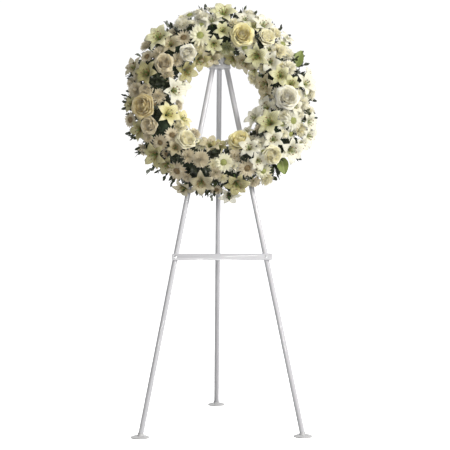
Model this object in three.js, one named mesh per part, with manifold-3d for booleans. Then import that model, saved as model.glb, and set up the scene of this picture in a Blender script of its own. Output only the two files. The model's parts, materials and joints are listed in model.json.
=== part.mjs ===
// Funeral wreath on a folding three-legged easel.
//
// A ring of floral foam in a plastic tray hangs on the easel's hook plate, and roses, lilies,
// cushion mums and daisies stand in it on their own stems. The easel's two front legs meet in
// a head block and are tied by a crossbar. Its rear leg turns on a hinge bolt behind the head
// block: the top of its eye rests against the block when the easel stands open, and the leg
// folds forward until it lies behind the front legs.
//
// Millimetres, +Z up, +X to the viewer's right, and -Y towards the viewer.

import Module from 'manifold-3d';
import * as THREE from 'three';
import { mergeVertices } from 'three/addons/utils/BufferGeometryUtils.js';

const wasm = await Module();
wasm.setup();

const rad = THREE.MathUtils.degToRad;
const GAP = 0.3; // clearance between pieces that touch
const CLEAR = 20; // how far a drill or cutter runs past what it cuts

// Easel: how it stands
const FEET_APART = 490; // between the centres of the front feet
const FEET_DEEP = 564; // from the front feet back to the rear foot
const FRONT_LEAN = rad(10); // the front legs lean back from upright
const APEX = 1240; // up the front slope, where the front legs' centre lines would meet

// Easel: tubes and feet
const TUBE_RADIUS = 8;
const TUBE_BORE = 6.6;
const TUBE_SIDES = 20;
const SPIGOT_RADIUS = 6.2;
const SPIGOT_LENGTH = 26;
const FOOT_RADIUS = 28;
const FOOT_RIM = 3;
const FOOT_BEVEL = 4; // in from the rim
const FOOT_BEVEL_TOP = 4.6;
const FOOT_CROWN = 6;
const FOOT_NECK_RADIUS = 9.5;
const FOOT_NECK_TOP = 14; // along the leg, where the neck ends and the tube begins

// Easel: head block, hinge and hook plate, by their height up the front slope
const BLOCK_BOTTOM = 1128;
const BLOCK_TOP = 1176;
const BLOCK_BOTTOM_WIDTH = 68;
const BLOCK_TOP_WIDTH = 50;
const BLOCK_DEPTH = 22;
const BLOCK_CORNER = 5; // cut off each top corner
const SOCKET_TOP = 1160;
const SOCKET_RADIUS = TUBE_RADIUS + GAP;
const HINGE_HEIGHT = 1150;
const HINGE_BEHIND = 27; // behind the front legs' plane
const EAR_THICKNESS = 4;
const EAR_RADIUS = 10;
const EYE_THICKNESS = 8.4;
const EYE_HALF_WIDTH = 7;
const EYE_BELOW = 14; // from the hinge down to the rear tube's collar
const EYE_SIDE_PLAY = 0.4;
const EYE_CORNER = 6; // cut off its top back corner
const COLLAR_LENGTH = 4;
const BOLT_RADIUS = 3;
const BOLT_PLAY = 0.35;
const BOLT_HEAD_RADIUS = 5.8;
const BOLT_HEAD_HEIGHT = 4;
const NUT_HEIGHT = 5;
const BOLT_END = 2; // past the nut
const PLATE_WIDTH = 34;
const PLATE_BOTTOM = 1132;
const PLATE_TOP = 1238;
const PLATE_THICKNESS = 3;
const TONGUE_WIDTH = 12;
const TONGUE_LOW = 1205;
const TONGUE_THICKNESS = 3;
const TONGUE_REACH = 12.7;
const LIP_HEIGHT = 13;

// Easel: crossbar and screws
const BAR_HEIGHT = 543; // up the front slope
const BAR_LENGTH = 305;
const BAR_WIDTH = 20;
const BAR_THICKNESS = 4;
const BAR_CORNER = 4;
const BAR_OFFSET = 4; // it is fixed a little to the right of centre
const SCREW_RADIUS = 2;
const SCREW_HOLE_RADIUS = 2.4;
const SCREW_HEAD_RADIUS = 4.2;
const SCREW_HEAD_HEIGHT = 2.4;
const SCREW_SOCKET_RADIUS = 1.4;
const HOOK_SCREW_HEIGHTS = { lower: 1140, upper: 1158 };
const HOOK_SCREW_LENGTH = 14;
const BAR_SCREW_LENGTH = 8.5;

// Wreath: tray and foam, in the wreath's own frame, where depth is measured forward from the
// tray's back
const WREATH_HEIGHT = 1020; // of its centre, up the front slope
const RING_RADIUS = 200; // middle of the foam
const FOAM_HALF_WIDTH = 40.7;
const FOAM_AXIS_DEPTH = 24; // centre of the foam's round front
const TRAY_WALL = 2;
const TRAY_DEPTH = 20;
const SLOT_SIDE = 2; // the tray's slot is this much wider than the tongue on each side
const SLOT_DROP = 7; // and this much taller than the lip
const POCKET_SIDE = 6; // the foam's pocket behind the slot, past the tongue on each side
const POCKET_DEPTH = 14;
const POCKET_BELOW = 17; // from the tongue down
const POCKET_ABOVE = 3; // over the lip
const RING_SEGMENTS = 40;

// Wreath: the stems that hold blooms and leaves in the foam
const STEM_RADIUS = 2.4;
const STEM_TIP = 18; // from the foam's axis
const STEM_HOLE_RADIUS = 3;

// Wreath: the five rows of blooms. A row leans outwards from straight forward by its lean, in
// degrees, or towards the hole if that is negative, and its calyxes stand off the foam's axis.
const OUTER = { lean: 62, standOff: 52 };
const SHOULDER = { lean: 32, standOff: 43 };
const FACE = { lean: 0, standOff: 43 };
const BROW = { lean: -30, standOff: 43 };
const INNER = { lean: -62, standOff: 43 };

// A head's outline from its calyx to its crown: [radius, height] at full size
const BLOOMS = {
  rose: { sides: 12, lobes: 0, outline: [[9, 1], [27, 16], [31, 30], [22, 41]], crown: 43 },
  lily: { sides: 12, lobes: 6, outline: [[7, 1], [17, 16], [40, 33], [30, 36]], crown: 26 },
  mum: { sides: 12, lobes: 0, outline: [[10, 1], [28, 10], [27, 20], [15, 29]], crown: 31 },
  daisy: { sides: 16, lobes: 8, outline: [[9, 1], [30, 9], [30, 13], [11, 15]], crown: 21 },
};
const LOBE_DEPTH = 0.24;

const BLOOM_FINISH = {
  rose: [0xeee2b8, 0.6],
  lily: [0xf1ecd9, 0.55],
  mum: [0xf3f0e2, 0.75],
  daisy: [0xf6f4ea, 0.7],
};

// Kind, clock angle from the top in degrees as seen from the front, row and size
const PLANTING = [
  ['lily', 2, OUTER, 1.1],
  ['rose', 19, FACE, 1.15],
  ['lily', 30, OUTER, 1],
  ['lily', 41, BROW, 1.05],
  ['rose', 37, SHOULDER, 0.9],
  ['mum', 51, SHOULDER, 1.05],
  ['mum', 66, SHOULDER, 1],
  ['lily', 72, INNER, 1.05],
  ['lily', 80, OUTER, 1],
  ['rose', 91, FACE, 1.15],
  ['daisy', 108, SHOULDER, 1.15],
  ['lily', 118, BROW, 1.15],
  ['lily', 127, OUTER, 1.1],
  ['rose', 139, SHOULDER, 1],
  ['daisy', 150, OUTER, 0.95],
  ['rose', 157, INNER, 1.1],
  ['daisy', 160, SHOULDER, 1.1],
  ['lily', 170, OUTER, 1.1],
  ['daisy', 178, FACE, 1.1],
  ['lily', 182, INNER, 0.8],
  ['lily', 193, OUTER, 1.05],
  ['mum', 198, FACE, 1.1],
  ['daisy', 204, INNER, 0.9],
  ['daisy', 211, OUTER, 1.15],
  ['rose', 219, BROW, 1],
  ['lily', 229, OUTER, 1.05],
  ['daisy', 233, SHOULDER, 0.95],
  ['mum', 235, INNER, 1],
  ['rose', 248, SHOULDER, 0.9],
  ['lily', 252, BROW, 1],
  ['rose', 263, SHOULDER, 1.15],
  ['mum', 276, OUTER, 1.1],
  ['lily', 280, INNER, 1.1],
  ['lily', 288, SHOULDER, 1.1],
  ['rose', 301, FACE, 0.95],
  ['lily', 315, OUTER, 1.15],
  ['rose', 324, BROW, 0.9],
  ['mum', 333, OUTER, 1.1],
  ['daisy', 342, FACE, 1.2],
  ['mum', 348, OUTER, 1.05],
];

// Two broad leaves stand out at the rim, at these clock angles
const LEAF_ROW = { lean: 78, standOff: 52 };
const LEAF_CLOCKS = { leaf_upper: 62, leaf_lower: 138 };
const LEAF_START = 3;
const LEAF_LENGTH = 44;
const LEAF_WIDTH = 26;
const LEAF_THICKNESS = 1.4;
const LEAF_SHOULDER = 8; // how far the blade's curve pulls up from its base
const LEAF_TAPER = 16; // and back from its tip
const PETIOLE_REACH = 6; // into the blade
const PETIOLE_RADIUS = 1.6;
const PETIOLE_HOLE_RADIUS = 2.2;

// ---------------------------------------------------------------- solids and placing

function toSolid(geometry) {
  const bare = geometry.clone();
  bare.deleteAttribute('normal');
  bare.deleteAttribute('uv');
  const merged = mergeVertices(bare);
  const corners = [];
  for (let i = 0; i < merged.index.count; i += 3) {
    const [a, b, c] = merged.index.array.subarray(i, i + 3);
    if (a !== b && b !== c && c !== a) corners.push(a, b, c);
  }
  return new wasm.Manifold(new wasm.Mesh({
    numProp: 3,
    vertProperties: merged.attributes.position.array,
    triVerts: new Uint32Array(corners),
  }));
}

function toGeometry(solid) {
  const { vertProperties, triVerts } = solid.getMesh();
  const geometry = new THREE.BufferGeometry();
  geometry.setAttribute('position', new THREE.BufferAttribute(vertProperties, 3));
  geometry.setIndex(new THREE.BufferAttribute(triVerts, 1));
  return geometry;
}

function join(first, ...others) {
  const joined = others.reduce((solid, other) => solid.add(toSolid(other)), toSolid(first));
  return toGeometry(joined);
}

function cut(first, ...tools) {
  const left = tools.reduce((solid, tool) => solid.subtract(toSolid(tool)), toSolid(first));
  return toGeometry(left);
}

function block(low, high) {
  const size = new THREE.Vector3().subVectors(high, low);
  const middle = new THREE.Vector3().addVectors(low, high).multiplyScalar(0.5);
  return new THREE.BoxGeometry(...size).translate(...middle);
}

const point = (x, y, z) => new THREE.Vector3(x, y, z);

// A solid rod between two points
function rod(radius, start, end, sides = TUBE_SIDES) {
  const along = new THREE.Vector3().subVectors(end, start);
  const turn = new THREE.Quaternion().setFromUnitVectors(point(0, 1, 0), along.clone().normalize());
  const middle = new THREE.Vector3().addVectors(start, end).multiplyScalar(0.5);
  return new THREE.CylinderGeometry(radius, radius, along.length(), sides)
    .applyQuaternion(turn)
    .translate(...middle);
}

// A flat slab in the XZ plane, from y = 0 forward
function slab(shape, thickness) {
  return new THREE.ExtrudeGeometry(shape, { depth: thickness, bevelEnabled: false, curveSegments: 6 })
    .rotateX(Math.PI / 2);
}

function lathe(profile, sides) {
  return new THREE.LatheGeometry(profile.map(([r, y]) => new THREE.Vector2(r, y)), sides);
}

function mesh(name, geometry, colour, roughness, metalness = 0) {
  const material = new THREE.MeshStandardMaterial({ color: colour, roughness, metalness });
  const piece = new THREE.Mesh(geometry, material);
  piece.name = name;
  return piece;
}

const WHITE_PAINT = [0xf1f1f3, 0.35];
const ZINC = [0xb9bcc0, 0.35, 1];

// ---------------------------------------------------------------- easel

const legX = (height) => (FEET_APART / 2) * (1 - height / APEX);

const HALF_SPLAY = Math.atan2(FEET_APART / 2, APEX);
const frontPlane = new THREE.Group();
frontPlane.rotation.x = -FRONT_LEAN;
frontPlane.updateMatrix();

const hinge = point(0, HINGE_BEHIND, HINGE_HEIGHT).applyMatrix4(frontPlane.matrix);
const REAR_LEAN = Math.atan2(FEET_DEEP - hinge.y, hinge.z);
const REAR_LENGTH = Math.hypot(FEET_DEEP - hinge.y, hinge.z);

function frontLeg(name, side) {
  const foot = point(side * FEET_APART / 2, 0, 0);
  const upward = point(-side * Math.sin(HALF_SPLAY), 0, Math.cos(HALF_SPLAY));
  const start = foot.clone().addScaledVector(upward, FOOT_NECK_TOP + GAP);
  const end = foot.clone().addScaledVector(upward, (SOCKET_TOP - 1) / Math.cos(HALF_SPLAY));
  const bore = rod(TUBE_BORE, foot, foot.clone().addScaledVector(upward, APEX));
  const barScrew = point(side * legX(BAR_HEIGHT), 0, BAR_HEIGHT);
  const screwHole = rod(SCREW_HOLE_RADIUS, barScrew.clone().setY(-2 * TUBE_RADIUS), barScrew, 12);
  return mesh(name, cut(rod(TUBE_RADIUS, start, end), bore, screwHole), ...WHITE_PAINT);
}

// A round flange foot with a slanted neck, and the spigot that goes up into the tube
function foot(name, ground, upward) {
  const disc = lathe([
    [0, 0],
    [FOOT_RADIUS, 0],
    [FOOT_RADIUS, FOOT_RIM],
    [FOOT_RADIUS - FOOT_BEVEL, FOOT_BEVEL_TOP],
    [FOOT_NECK_RADIUS, FOOT_CROWN],
    [0, FOOT_CROWN],
  ], 32).rotateX(Math.PI / 2);
  const at = (distance) => upward.clone().multiplyScalar(distance);
  const neck = rod(FOOT_NECK_RADIUS, at(FOOT_RIM + 1), at(FOOT_NECK_TOP));
  const spigot = rod(SPIGOT_RADIUS, at(FOOT_RIM + 1), at(FOOT_NECK_TOP + SPIGOT_LENGTH));
  const piece = mesh(name, join(disc, neck, spigot), 0xf4f4f4, 0.45);
  piece.position.copy(ground);
  return piece;
}

function blockShape() {
  const shape = new THREE.Shape();
  shape.moveTo(-BLOCK_BOTTOM_WIDTH / 2, BLOCK_BOTTOM);
  shape.lineTo(BLOCK_BOTTOM_WIDTH / 2, BLOCK_BOTTOM);
  shape.lineTo(BLOCK_TOP_WIDTH / 2, BLOCK_TOP - BLOCK_CORNER);
  shape.lineTo(BLOCK_TOP_WIDTH / 2 - BLOCK_CORNER, BLOCK_TOP);
  shape.lineTo(-BLOCK_TOP_WIDTH / 2 + BLOCK_CORNER, BLOCK_TOP);
  shape.lineTo(-BLOCK_TOP_WIDTH / 2, BLOCK_TOP - BLOCK_CORNER);
  return shape;
}

// An ear of the clevis, an outline in the YZ plane pushed out along X
function ear(x) {
  const shape = new THREE.Shape();
  const root = BLOCK_DEPTH / 2 - 1;
  shape.moveTo(root, HINGE_HEIGHT - EAR_RADIUS);
  shape.absarc(HINGE_BEHIND, HINGE_HEIGHT, EAR_RADIUS, -Math.PI / 2, Math.PI / 2, false);
  shape.lineTo(root, HINGE_HEIGHT + EAR_RADIUS);
  return sideways(shape, EAR_THICKNESS).translate(x - EAR_THICKNESS / 2, 0, 0);
}

// Turns an outline drawn in the XY plane into the YZ plane, with its thickness along +X
function sideways(shape, thickness) {
  const turn = new THREE.Matrix4().makeBasis(point(0, 1, 0), point(0, 0, 1), point(1, 0, 0));
  return new THREE.ExtrudeGeometry(shape, { depth: thickness, bevelEnabled: false, curveSegments: 8 })
    .applyMatrix4(turn);
}

const EAR_X = EYE_THICKNESS / 2 + EYE_SIDE_PLAY + EAR_THICKNESS / 2;
const CLEVIS_SIDE = EAR_X + EAR_THICKNESS / 2;

function headBlock() {
  const body = slab(blockShape(), BLOCK_DEPTH).translate(0, BLOCK_DEPTH / 2, 0);
  const sockets = [-1, 1].map((side) => {
    const low = point(side * legX(BLOCK_BOTTOM - CLEAR), 0, BLOCK_BOTTOM - CLEAR);
    const high = point(side * legX(SOCKET_TOP), 0, SOCKET_TOP);
    return rod(SOCKET_RADIUS, low, high);
  });
  const boltHole = rod(BOLT_RADIUS + BOLT_PLAY, point(-CLEAR, HINGE_BEHIND, HINGE_HEIGHT),
    point(CLEAR, HINGE_BEHIND, HINGE_HEIGHT), 16);
  const screwHoles = Object.values(HOOK_SCREW_HEIGHTS).map((height) => (
    rod(SCREW_HOLE_RADIUS, point(0, -CLEAR, height), point(0, HOOK_SCREW_LENGTH / 2, height), 12)));
  const solid = join(body, ear(-EAR_X), ear(EAR_X));
  return mesh('head_block', cut(solid, ...sockets, boltHole, ...screwHoles), ...WHITE_PAINT);
}

function hookPlate() {
  const half = PLATE_WIDTH / 2;
  const shape = new THREE.Shape();
  shape.moveTo(-half, PLATE_BOTTOM);
  shape.lineTo(half, PLATE_BOTTOM);
  shape.lineTo(half, PLATE_TOP - half);
  shape.absarc(0, PLATE_TOP - half, half, 0, Math.PI, false);
  const plate = slab(shape, PLATE_THICKNESS);
  const tipY = -PLATE_THICKNESS - TONGUE_REACH;
  const side = TONGUE_WIDTH / 2;
  const tongueTop = TONGUE_LOW + TONGUE_THICKNESS;
  const tongue = block(point(-side, tipY, TONGUE_LOW), point(side, -PLATE_THICKNESS / 2, tongueTop));
  const lipFront = tipY + TONGUE_THICKNESS;
  const lip = block(point(-side, tipY, TONGUE_LOW), point(side, lipFront, TONGUE_LOW + LIP_HEIGHT));
  const holes = Object.values(HOOK_SCREW_HEIGHTS).map((height) => (
    rod(SCREW_HOLE_RADIUS, point(0, -CLEAR, height), point(0, CLEAR, height), 12)));
  const piece = mesh('hook_plate', cut(join(plate, tongue, lip), ...holes), 0xe6e8ee, 0.35);
  piece.position.y = -BLOCK_DEPTH / 2 - GAP;
  return piece;
}

function crossbar() {
  const half = BAR_LENGTH / 2;
  const rise = BAR_WIDTH / 2;
  const inset = BAR_CORNER;
  const shape = new THREE.Shape();
  shape.moveTo(-half + inset, -rise);
  shape.absarc(half - inset, -rise + inset, inset, -Math.PI / 2, 0, false);
  shape.absarc(half - inset, rise - inset, inset, 0, Math.PI / 2, false);
  shape.absarc(-half + inset, rise - inset, inset, Math.PI / 2, Math.PI, false);
  shape.absarc(-half + inset, -rise + inset, inset, Math.PI, 1.5 * Math.PI, false);
  const bar = slab(shape, BAR_THICKNESS).translate(BAR_OFFSET, 0, 0);
  const holes = [-1, 1].map((side) => {
    const x = side * legX(BAR_HEIGHT);
    return rod(SCREW_HOLE_RADIUS, point(x, -CLEAR, 0), point(x, CLEAR, 0), 12);
  });
  const piece = mesh('crossbar', cut(bar, ...holes), ...WHITE_PAINT);
  piece.position.set(0, -TUBE_RADIUS - GAP, BAR_HEIGHT);
  return piece;
}

// A button-head screw with a hexagon socket. Its head faces the viewer, and its seat is at y = 0.
function screw(name, length, x, y, height) {
  const body = lathe([
    [0, -length],
    [SCREW_RADIUS, -length],
    [SCREW_RADIUS, 0],
    [SCREW_HEAD_RADIUS, 0],
    [SCREW_HEAD_RADIUS, 0.4 * SCREW_HEAD_HEIGHT],
    [0.7 * SCREW_HEAD_RADIUS, 0.85 * SCREW_HEAD_HEIGHT],
    [0.4 * SCREW_HEAD_RADIUS, SCREW_HEAD_HEIGHT],
    [0, SCREW_HEAD_HEIGHT],
  ], 12);
  const socketFloor = point(0, 0.4 * SCREW_HEAD_HEIGHT, 0);
  const socket = rod(SCREW_SOCKET_RADIUS, socketFloor, point(0, CLEAR, 0), 6);
  const piece = mesh(name, cut(body, socket), ...ZINC);
  piece.rotation.x = Math.PI;
  piece.position.set(x, y, height);
  return piece;
}

function hingeBolt() {
  const start = -CLEVIS_SIDE - GAP;
  const at = (x) => point(x, HINGE_BEHIND, HINGE_HEIGHT);
  const head = rod(BOLT_HEAD_RADIUS, at(start - BOLT_HEAD_HEIGHT), at(start), 6);
  const shaft = rod(BOLT_RADIUS, at(start - 1), at(CLEVIS_SIDE + NUT_HEIGHT + BOLT_END), 16);
  return mesh('hinge_bolt', join(head, shaft), ...ZINC);
}

function hingeNut() {
  const at = (x) => point(x, HINGE_BEHIND, HINGE_HEIGHT);
  const body = rod(BOLT_HEAD_RADIUS, at(CLEVIS_SIDE + GAP), at(CLEVIS_SIDE + GAP + NUT_HEIGHT), 6);
  return mesh('hinge_nut', cut(body, rod(BOLT_RADIUS + BOLT_PLAY, at(0), at(2 * CLEAR), 16)), ...ZINC);
}

// The rear leg's own frame has its origin on the hinge bolt, and runs down along -Z.
function rearTube() {
  const start = point(0, 0, -REAR_LENGTH + FOOT_NECK_TOP + GAP);
  const end = point(0, 0, -EYE_BELOW - COLLAR_LENGTH - GAP);
  const bore = rod(TUBE_BORE, point(0, 0, -REAR_LENGTH), point(0, 0, 0));
  return mesh('rear_leg', cut(rod(TUBE_RADIUS, start, end), bore), ...WHITE_PAINT);
}

// The eye's top front corner is the stop that meets the head block when the leg is open.
function rearEye() {
  const open = FRONT_LEAN + REAR_LEAN;
  const toBlock = HINGE_BEHIND - BLOCK_DEPTH / 2 - GAP;
  const top = (toBlock - EYE_HALF_WIDTH * Math.cos(open)) / Math.sin(open);
  const shape = new THREE.Shape();
  shape.moveTo(-EYE_HALF_WIDTH, -EYE_BELOW - 1);
  shape.lineTo(EYE_HALF_WIDTH, -EYE_BELOW - 1);
  shape.lineTo(EYE_HALF_WIDTH, top - EYE_CORNER);
  shape.lineTo(EYE_HALF_WIDTH - EYE_CORNER, top);
  shape.lineTo(-EYE_HALF_WIDTH, top);
  const plate = sideways(shape, EYE_THICKNESS).translate(-EYE_THICKNESS / 2, 0, 0);
  const collarEnd = -EYE_BELOW - COLLAR_LENGTH;
  const collar = rod(TUBE_RADIUS, point(0, 0, collarEnd), point(0, 0, -EYE_BELOW));
  const spigotTop = point(0, 0, -EYE_BELOW - 1);
  const spigot = rod(SPIGOT_RADIUS, point(0, 0, collarEnd - SPIGOT_LENGTH), spigotTop);
  const hole = rod(BOLT_RADIUS + BOLT_PLAY, point(-CLEAR, 0, 0), point(CLEAR, 0, 0), 16);
  return mesh('rear_leg_eye', cut(join(plate, collar, spigot), hole), ...WHITE_PAINT);
}

// ---------------------------------------------------------------- wreath

// Direction from the foam's axis for a clock angle and a lean, in the wreath's frame
function outward(clock, lean) {
  const spread = Math.sin(rad(lean));
  return point(Math.sin(rad(clock)) * spread, -Math.cos(rad(lean)), Math.cos(rad(clock)) * spread);
}

function stemHole(clock, { lean, standOff }, radius) {
  const axis = point(Math.sin(rad(clock)), 0, Math.cos(rad(clock))).multiplyScalar(RING_RADIUS);
  axis.y = -FOAM_AXIS_DEPTH;
  const along = outward(clock, lean);
  const start = axis.clone().addScaledVector(along, STEM_TIP - 1);
  return rod(radius, start, axis.clone().addScaledVector(along, standOff), 6);
}

function foamRing() {
  const inner = RING_RADIUS - FOAM_HALF_WIDTH;
  const outer = RING_RADIUS + FOAM_HALF_WIDTH;
  const back = -TRAY_WALL - GAP;
  const section = new THREE.Path();
  section.moveTo(inner, back);
  section.lineTo(inner, -FOAM_AXIS_DEPTH);
  section.absarc(RING_RADIUS, -FOAM_AXIS_DEPTH, FOAM_HALF_WIDTH, Math.PI, 2 * Math.PI, false);
  section.lineTo(outer, back);
  section.lineTo(inner, back);
  const ring = new THREE.LatheGeometry(section.getPoints(4), RING_SEGMENTS);
  const tongueHeight = TONGUE_LOW - WREATH_HEIGHT;
  const pocket = block(
    point(-TONGUE_WIDTH / 2 - POCKET_SIDE, -POCKET_DEPTH, tongueHeight - POCKET_BELOW),
    point(TONGUE_WIDTH / 2 + POCKET_SIDE, 0, tongueHeight + LIP_HEIGHT + POCKET_ABOVE),
  );
  const bloomHoles = PLANTING.map(([, clock, row]) => stemHole(clock, row, STEM_HOLE_RADIUS));
  const leafHoles = Object.values(LEAF_CLOCKS).map((clock) => (
    stemHole(clock, LEAF_ROW, PETIOLE_HOLE_RADIUS)));
  return mesh('foam_ring', cut(ring, pocket, ...bloomHoles, ...leafHoles), 0x2f5d34, 0.95);
}

function ringTray() {
  const inner = RING_RADIUS - FOAM_HALF_WIDTH - GAP;
  const outer = RING_RADIUS + FOAM_HALF_WIDTH + GAP;
  const ring = lathe([
    [inner - TRAY_WALL, 0],
    [inner - TRAY_WALL, -TRAY_DEPTH],
    [inner, -TRAY_DEPTH],
    [inner, -TRAY_WALL],
    [outer, -TRAY_WALL],
    [outer, -TRAY_DEPTH],
    [outer + TRAY_WALL, -TRAY_DEPTH],
    [outer + TRAY_WALL, 0],
    [inner - TRAY_WALL, 0],
  ], RING_SEGMENTS);
  const slotTop = TONGUE_LOW + TONGUE_THICKNESS + GAP - WREATH_HEIGHT;
  const slotBottom = slotTop - LIP_HEIGHT - SLOT_DROP;
  const slot = block(
    point(-TONGUE_WIDTH / 2 - SLOT_SIDE, -TRAY_WALL - 1, slotBottom),
    point(TONGUE_WIDTH / 2 + SLOT_SIDE, 1, slotTop),
  );
  return mesh('ring_tray', cut(ring, slot), 0x27402a, 0.6);
}

// A bloom stands along +Y, with its base at the origin and its stem below
function bloomGeometry(kind, size, stem) {
  const { sides, lobes, outline, crown } = BLOOMS[kind];
  const head = outline.map(([r, y]) => [r * size, y * size]);
  const profile = [[0, -stem], [STEM_RADIUS, -stem], [STEM_RADIUS, 0], ...head, [0, crown * size]];
  const geometry = lathe(profile, sides);
  if (lobes) {
    const spot = new THREE.Vector3();
    const places = geometry.attributes.position;
    const petalStart = outline[0][1] * size + 0.1;
    for (let i = 0; i < places.count; i += 1) {
      spot.fromBufferAttribute(places, i);
      if (spot.y < petalStart) continue;
      const wave = 1 - LOBE_DEPTH * (1 - Math.cos(lobes * Math.atan2(spot.x, spot.z)));
      places.setXYZ(i, spot.x * wave, spot.y, spot.z * wave);
    }
  }
  return geometry;
}

function plant(piece, clock, { lean, standOff }) {
  const arm = new THREE.Group();
  arm.rotation.y = rad(clock);
  const pivot = new THREE.Group();
  pivot.position.set(0, -FOAM_AXIS_DEPTH, RING_RADIUS);
  pivot.rotation.x = Math.PI - rad(lean);
  piece.position.y = standOff;
  arm.add(pivot);
  pivot.add(piece);
  return arm;
}

function blooms() {
  const counts = {};
  return PLANTING.map(([kind, clock, row, size]) => {
    counts[kind] = (counts[kind] ?? 0) + 1;
    const name = `${kind}_${String(counts[kind]).padStart(2, '0')}`;
    const geometry = bloomGeometry(kind, size, row.standOff - STEM_TIP);
    return plant(mesh(name, geometry, ...BLOOM_FINISH[kind]), clock, row);
  });
}

function leaf(name, clock) {
  const end = LEAF_START + LEAF_LENGTH;
  const shape = new THREE.Shape();
  shape.moveTo(0, LEAF_START);
  const shoulder = LEAF_START + LEAF_SHOULDER;
  const taper = end - LEAF_TAPER;
  shape.bezierCurveTo(LEAF_WIDTH * 0.7, shoulder, LEAF_WIDTH * 0.6, taper, 0, end);
  shape.bezierCurveTo(-LEAF_WIDTH * 0.6, taper, -LEAF_WIDTH * 0.7, shoulder, 0, LEAF_START);
  const blade = new THREE.ExtrudeGeometry(shape, {
    depth: LEAF_THICKNESS,
    bevelEnabled: false,
    curveSegments: 6,
  }).translate(0, 0, -LEAF_THICKNESS / 2);
  const stem = LEAF_ROW.standOff - STEM_TIP;
  const petiole = rod(PETIOLE_RADIUS, point(0, -stem, 0), point(0, LEAF_START + PETIOLE_REACH, 0), 6);
  return plant(mesh(name, join(blade, petiole), 0x6d8a3a, 0.5), clock, LEAF_ROW);
}

function wreath() {
  const group = new THREE.Group();
  group.position.set(0, -BLOCK_DEPTH / 2 - PLATE_THICKNESS - 2 * GAP, WREATH_HEIGHT);
  group.add(ringTray(), foamRing(), ...blooms());
  Object.entries(LEAF_CLOCKS).forEach(([name, clock]) => group.add(leaf(name, clock)));
  return group;
}

// ---------------------------------------------------------------- the whole object

frontPlane.add(
  frontLeg('front_leg_left', -1),
  frontLeg('front_leg_right', 1),
  headBlock(),
  hookPlate(),
  crossbar(),
  hingeBolt(),
  hingeNut(),
  wreath(),
);
Object.entries(HOOK_SCREW_HEIGHTS).forEach(([which, height]) => {
  const seat = -BLOCK_DEPTH / 2 - PLATE_THICKNESS - 2 * GAP;
  frontPlane.add(screw(`hook_screw_${which}`, HOOK_SCREW_LENGTH, 0, seat, height));
});
Object.entries({ left: -1, right: 1 }).forEach(([which, side]) => {
  const seat = -TUBE_RADIUS - BAR_THICKNESS - 2 * GAP;
  const x = side * legX(BAR_HEIGHT);
  frontPlane.add(screw(`crossbar_screw_${which}`, BAR_SCREW_LENGTH, x, seat, BAR_HEIGHT));
});

const rearLeg = new THREE.Group();
rearLeg.position.copy(hinge);
rearLeg.rotation.x = REAR_LEAN;
rearLeg.add(rearTube(), rearEye());

const model = new THREE.Group();
model.add(frontPlane, rearLeg);
Object.entries({ left: -1, right: 1 }).forEach(([which, side]) => {
  const upward = point(-side * Math.sin(HALF_SPLAY), 0, Math.cos(HALF_SPLAY));
  upward.applyMatrix4(frontPlane.matrix);
  model.add(foot(`foot_${which}`, point(side * FEET_APART / 2, 0, 0), upward));
});
const rearUpward = point(0, -Math.sin(REAR_LEAN), Math.cos(REAR_LEAN));
model.add(foot('foot_rear', point(0, FEET_DEEP, 0), rearUpward));

// The origin is on the floor in the easel's plane of symmetry, halfway from front to back
const box = new THREE.Box3().setFromObject(model, true);
model.position.y = -(box.min.y + box.max.y) / 2;

export default model;
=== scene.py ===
"""Funeral wreath on its folding easel: the finish of every piece, and the flowers and leaves.

The easel, the tray and the foam keep the frame's shapes. Each bloom is made petal by petal on the
seat of the plain solid that it stands for. Small blooms and leaves fill in between them.

Pieces are in metres, +Z up, +X to the viewer's right and -Y towards the viewer. A flower is
drawn in millimetres in its own space: it faces +Z, and its calyx starts at the origin.
"""

import json
import math
import random

import bmesh
import bpy
import numpy as np
from mathutils import Matrix, Vector

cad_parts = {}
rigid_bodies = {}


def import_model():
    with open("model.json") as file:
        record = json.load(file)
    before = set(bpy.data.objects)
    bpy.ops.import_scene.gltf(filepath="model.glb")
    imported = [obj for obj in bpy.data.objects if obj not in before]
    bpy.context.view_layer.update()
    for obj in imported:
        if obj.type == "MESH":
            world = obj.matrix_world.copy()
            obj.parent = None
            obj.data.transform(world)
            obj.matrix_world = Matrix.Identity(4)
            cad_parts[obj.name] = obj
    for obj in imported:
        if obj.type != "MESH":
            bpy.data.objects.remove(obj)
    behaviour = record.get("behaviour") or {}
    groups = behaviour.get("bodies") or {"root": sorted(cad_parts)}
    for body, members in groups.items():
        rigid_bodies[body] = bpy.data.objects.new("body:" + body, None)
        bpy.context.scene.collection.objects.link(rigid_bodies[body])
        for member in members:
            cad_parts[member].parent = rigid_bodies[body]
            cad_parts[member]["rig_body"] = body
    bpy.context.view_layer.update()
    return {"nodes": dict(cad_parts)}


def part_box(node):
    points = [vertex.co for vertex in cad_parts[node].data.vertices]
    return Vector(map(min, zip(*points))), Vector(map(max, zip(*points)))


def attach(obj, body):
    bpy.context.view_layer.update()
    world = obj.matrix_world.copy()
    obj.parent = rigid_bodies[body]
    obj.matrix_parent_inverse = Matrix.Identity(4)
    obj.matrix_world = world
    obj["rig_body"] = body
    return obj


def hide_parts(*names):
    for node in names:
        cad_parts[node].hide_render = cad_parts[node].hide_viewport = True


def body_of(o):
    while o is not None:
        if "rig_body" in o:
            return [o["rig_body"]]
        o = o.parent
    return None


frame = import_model()

MM = 0.001
FRONT = "front_frame"
GOLDEN = math.pi * (3 - math.sqrt(5))
FULL_TURN = 2 * math.pi

# The wreath, in millimetres
WREATH_LEAN = math.radians(10)
TRAY_DEPTH = 20
RING_RADIUS = 200
FOAM_AXIS_DEPTH = 24  # from the tray's back forward to the centre of the foam's round front
FOAM_RADIUS = 40.7
STEM_RADIUS = 2.4
STEM_TIP = 18  # from the foam's axis

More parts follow.
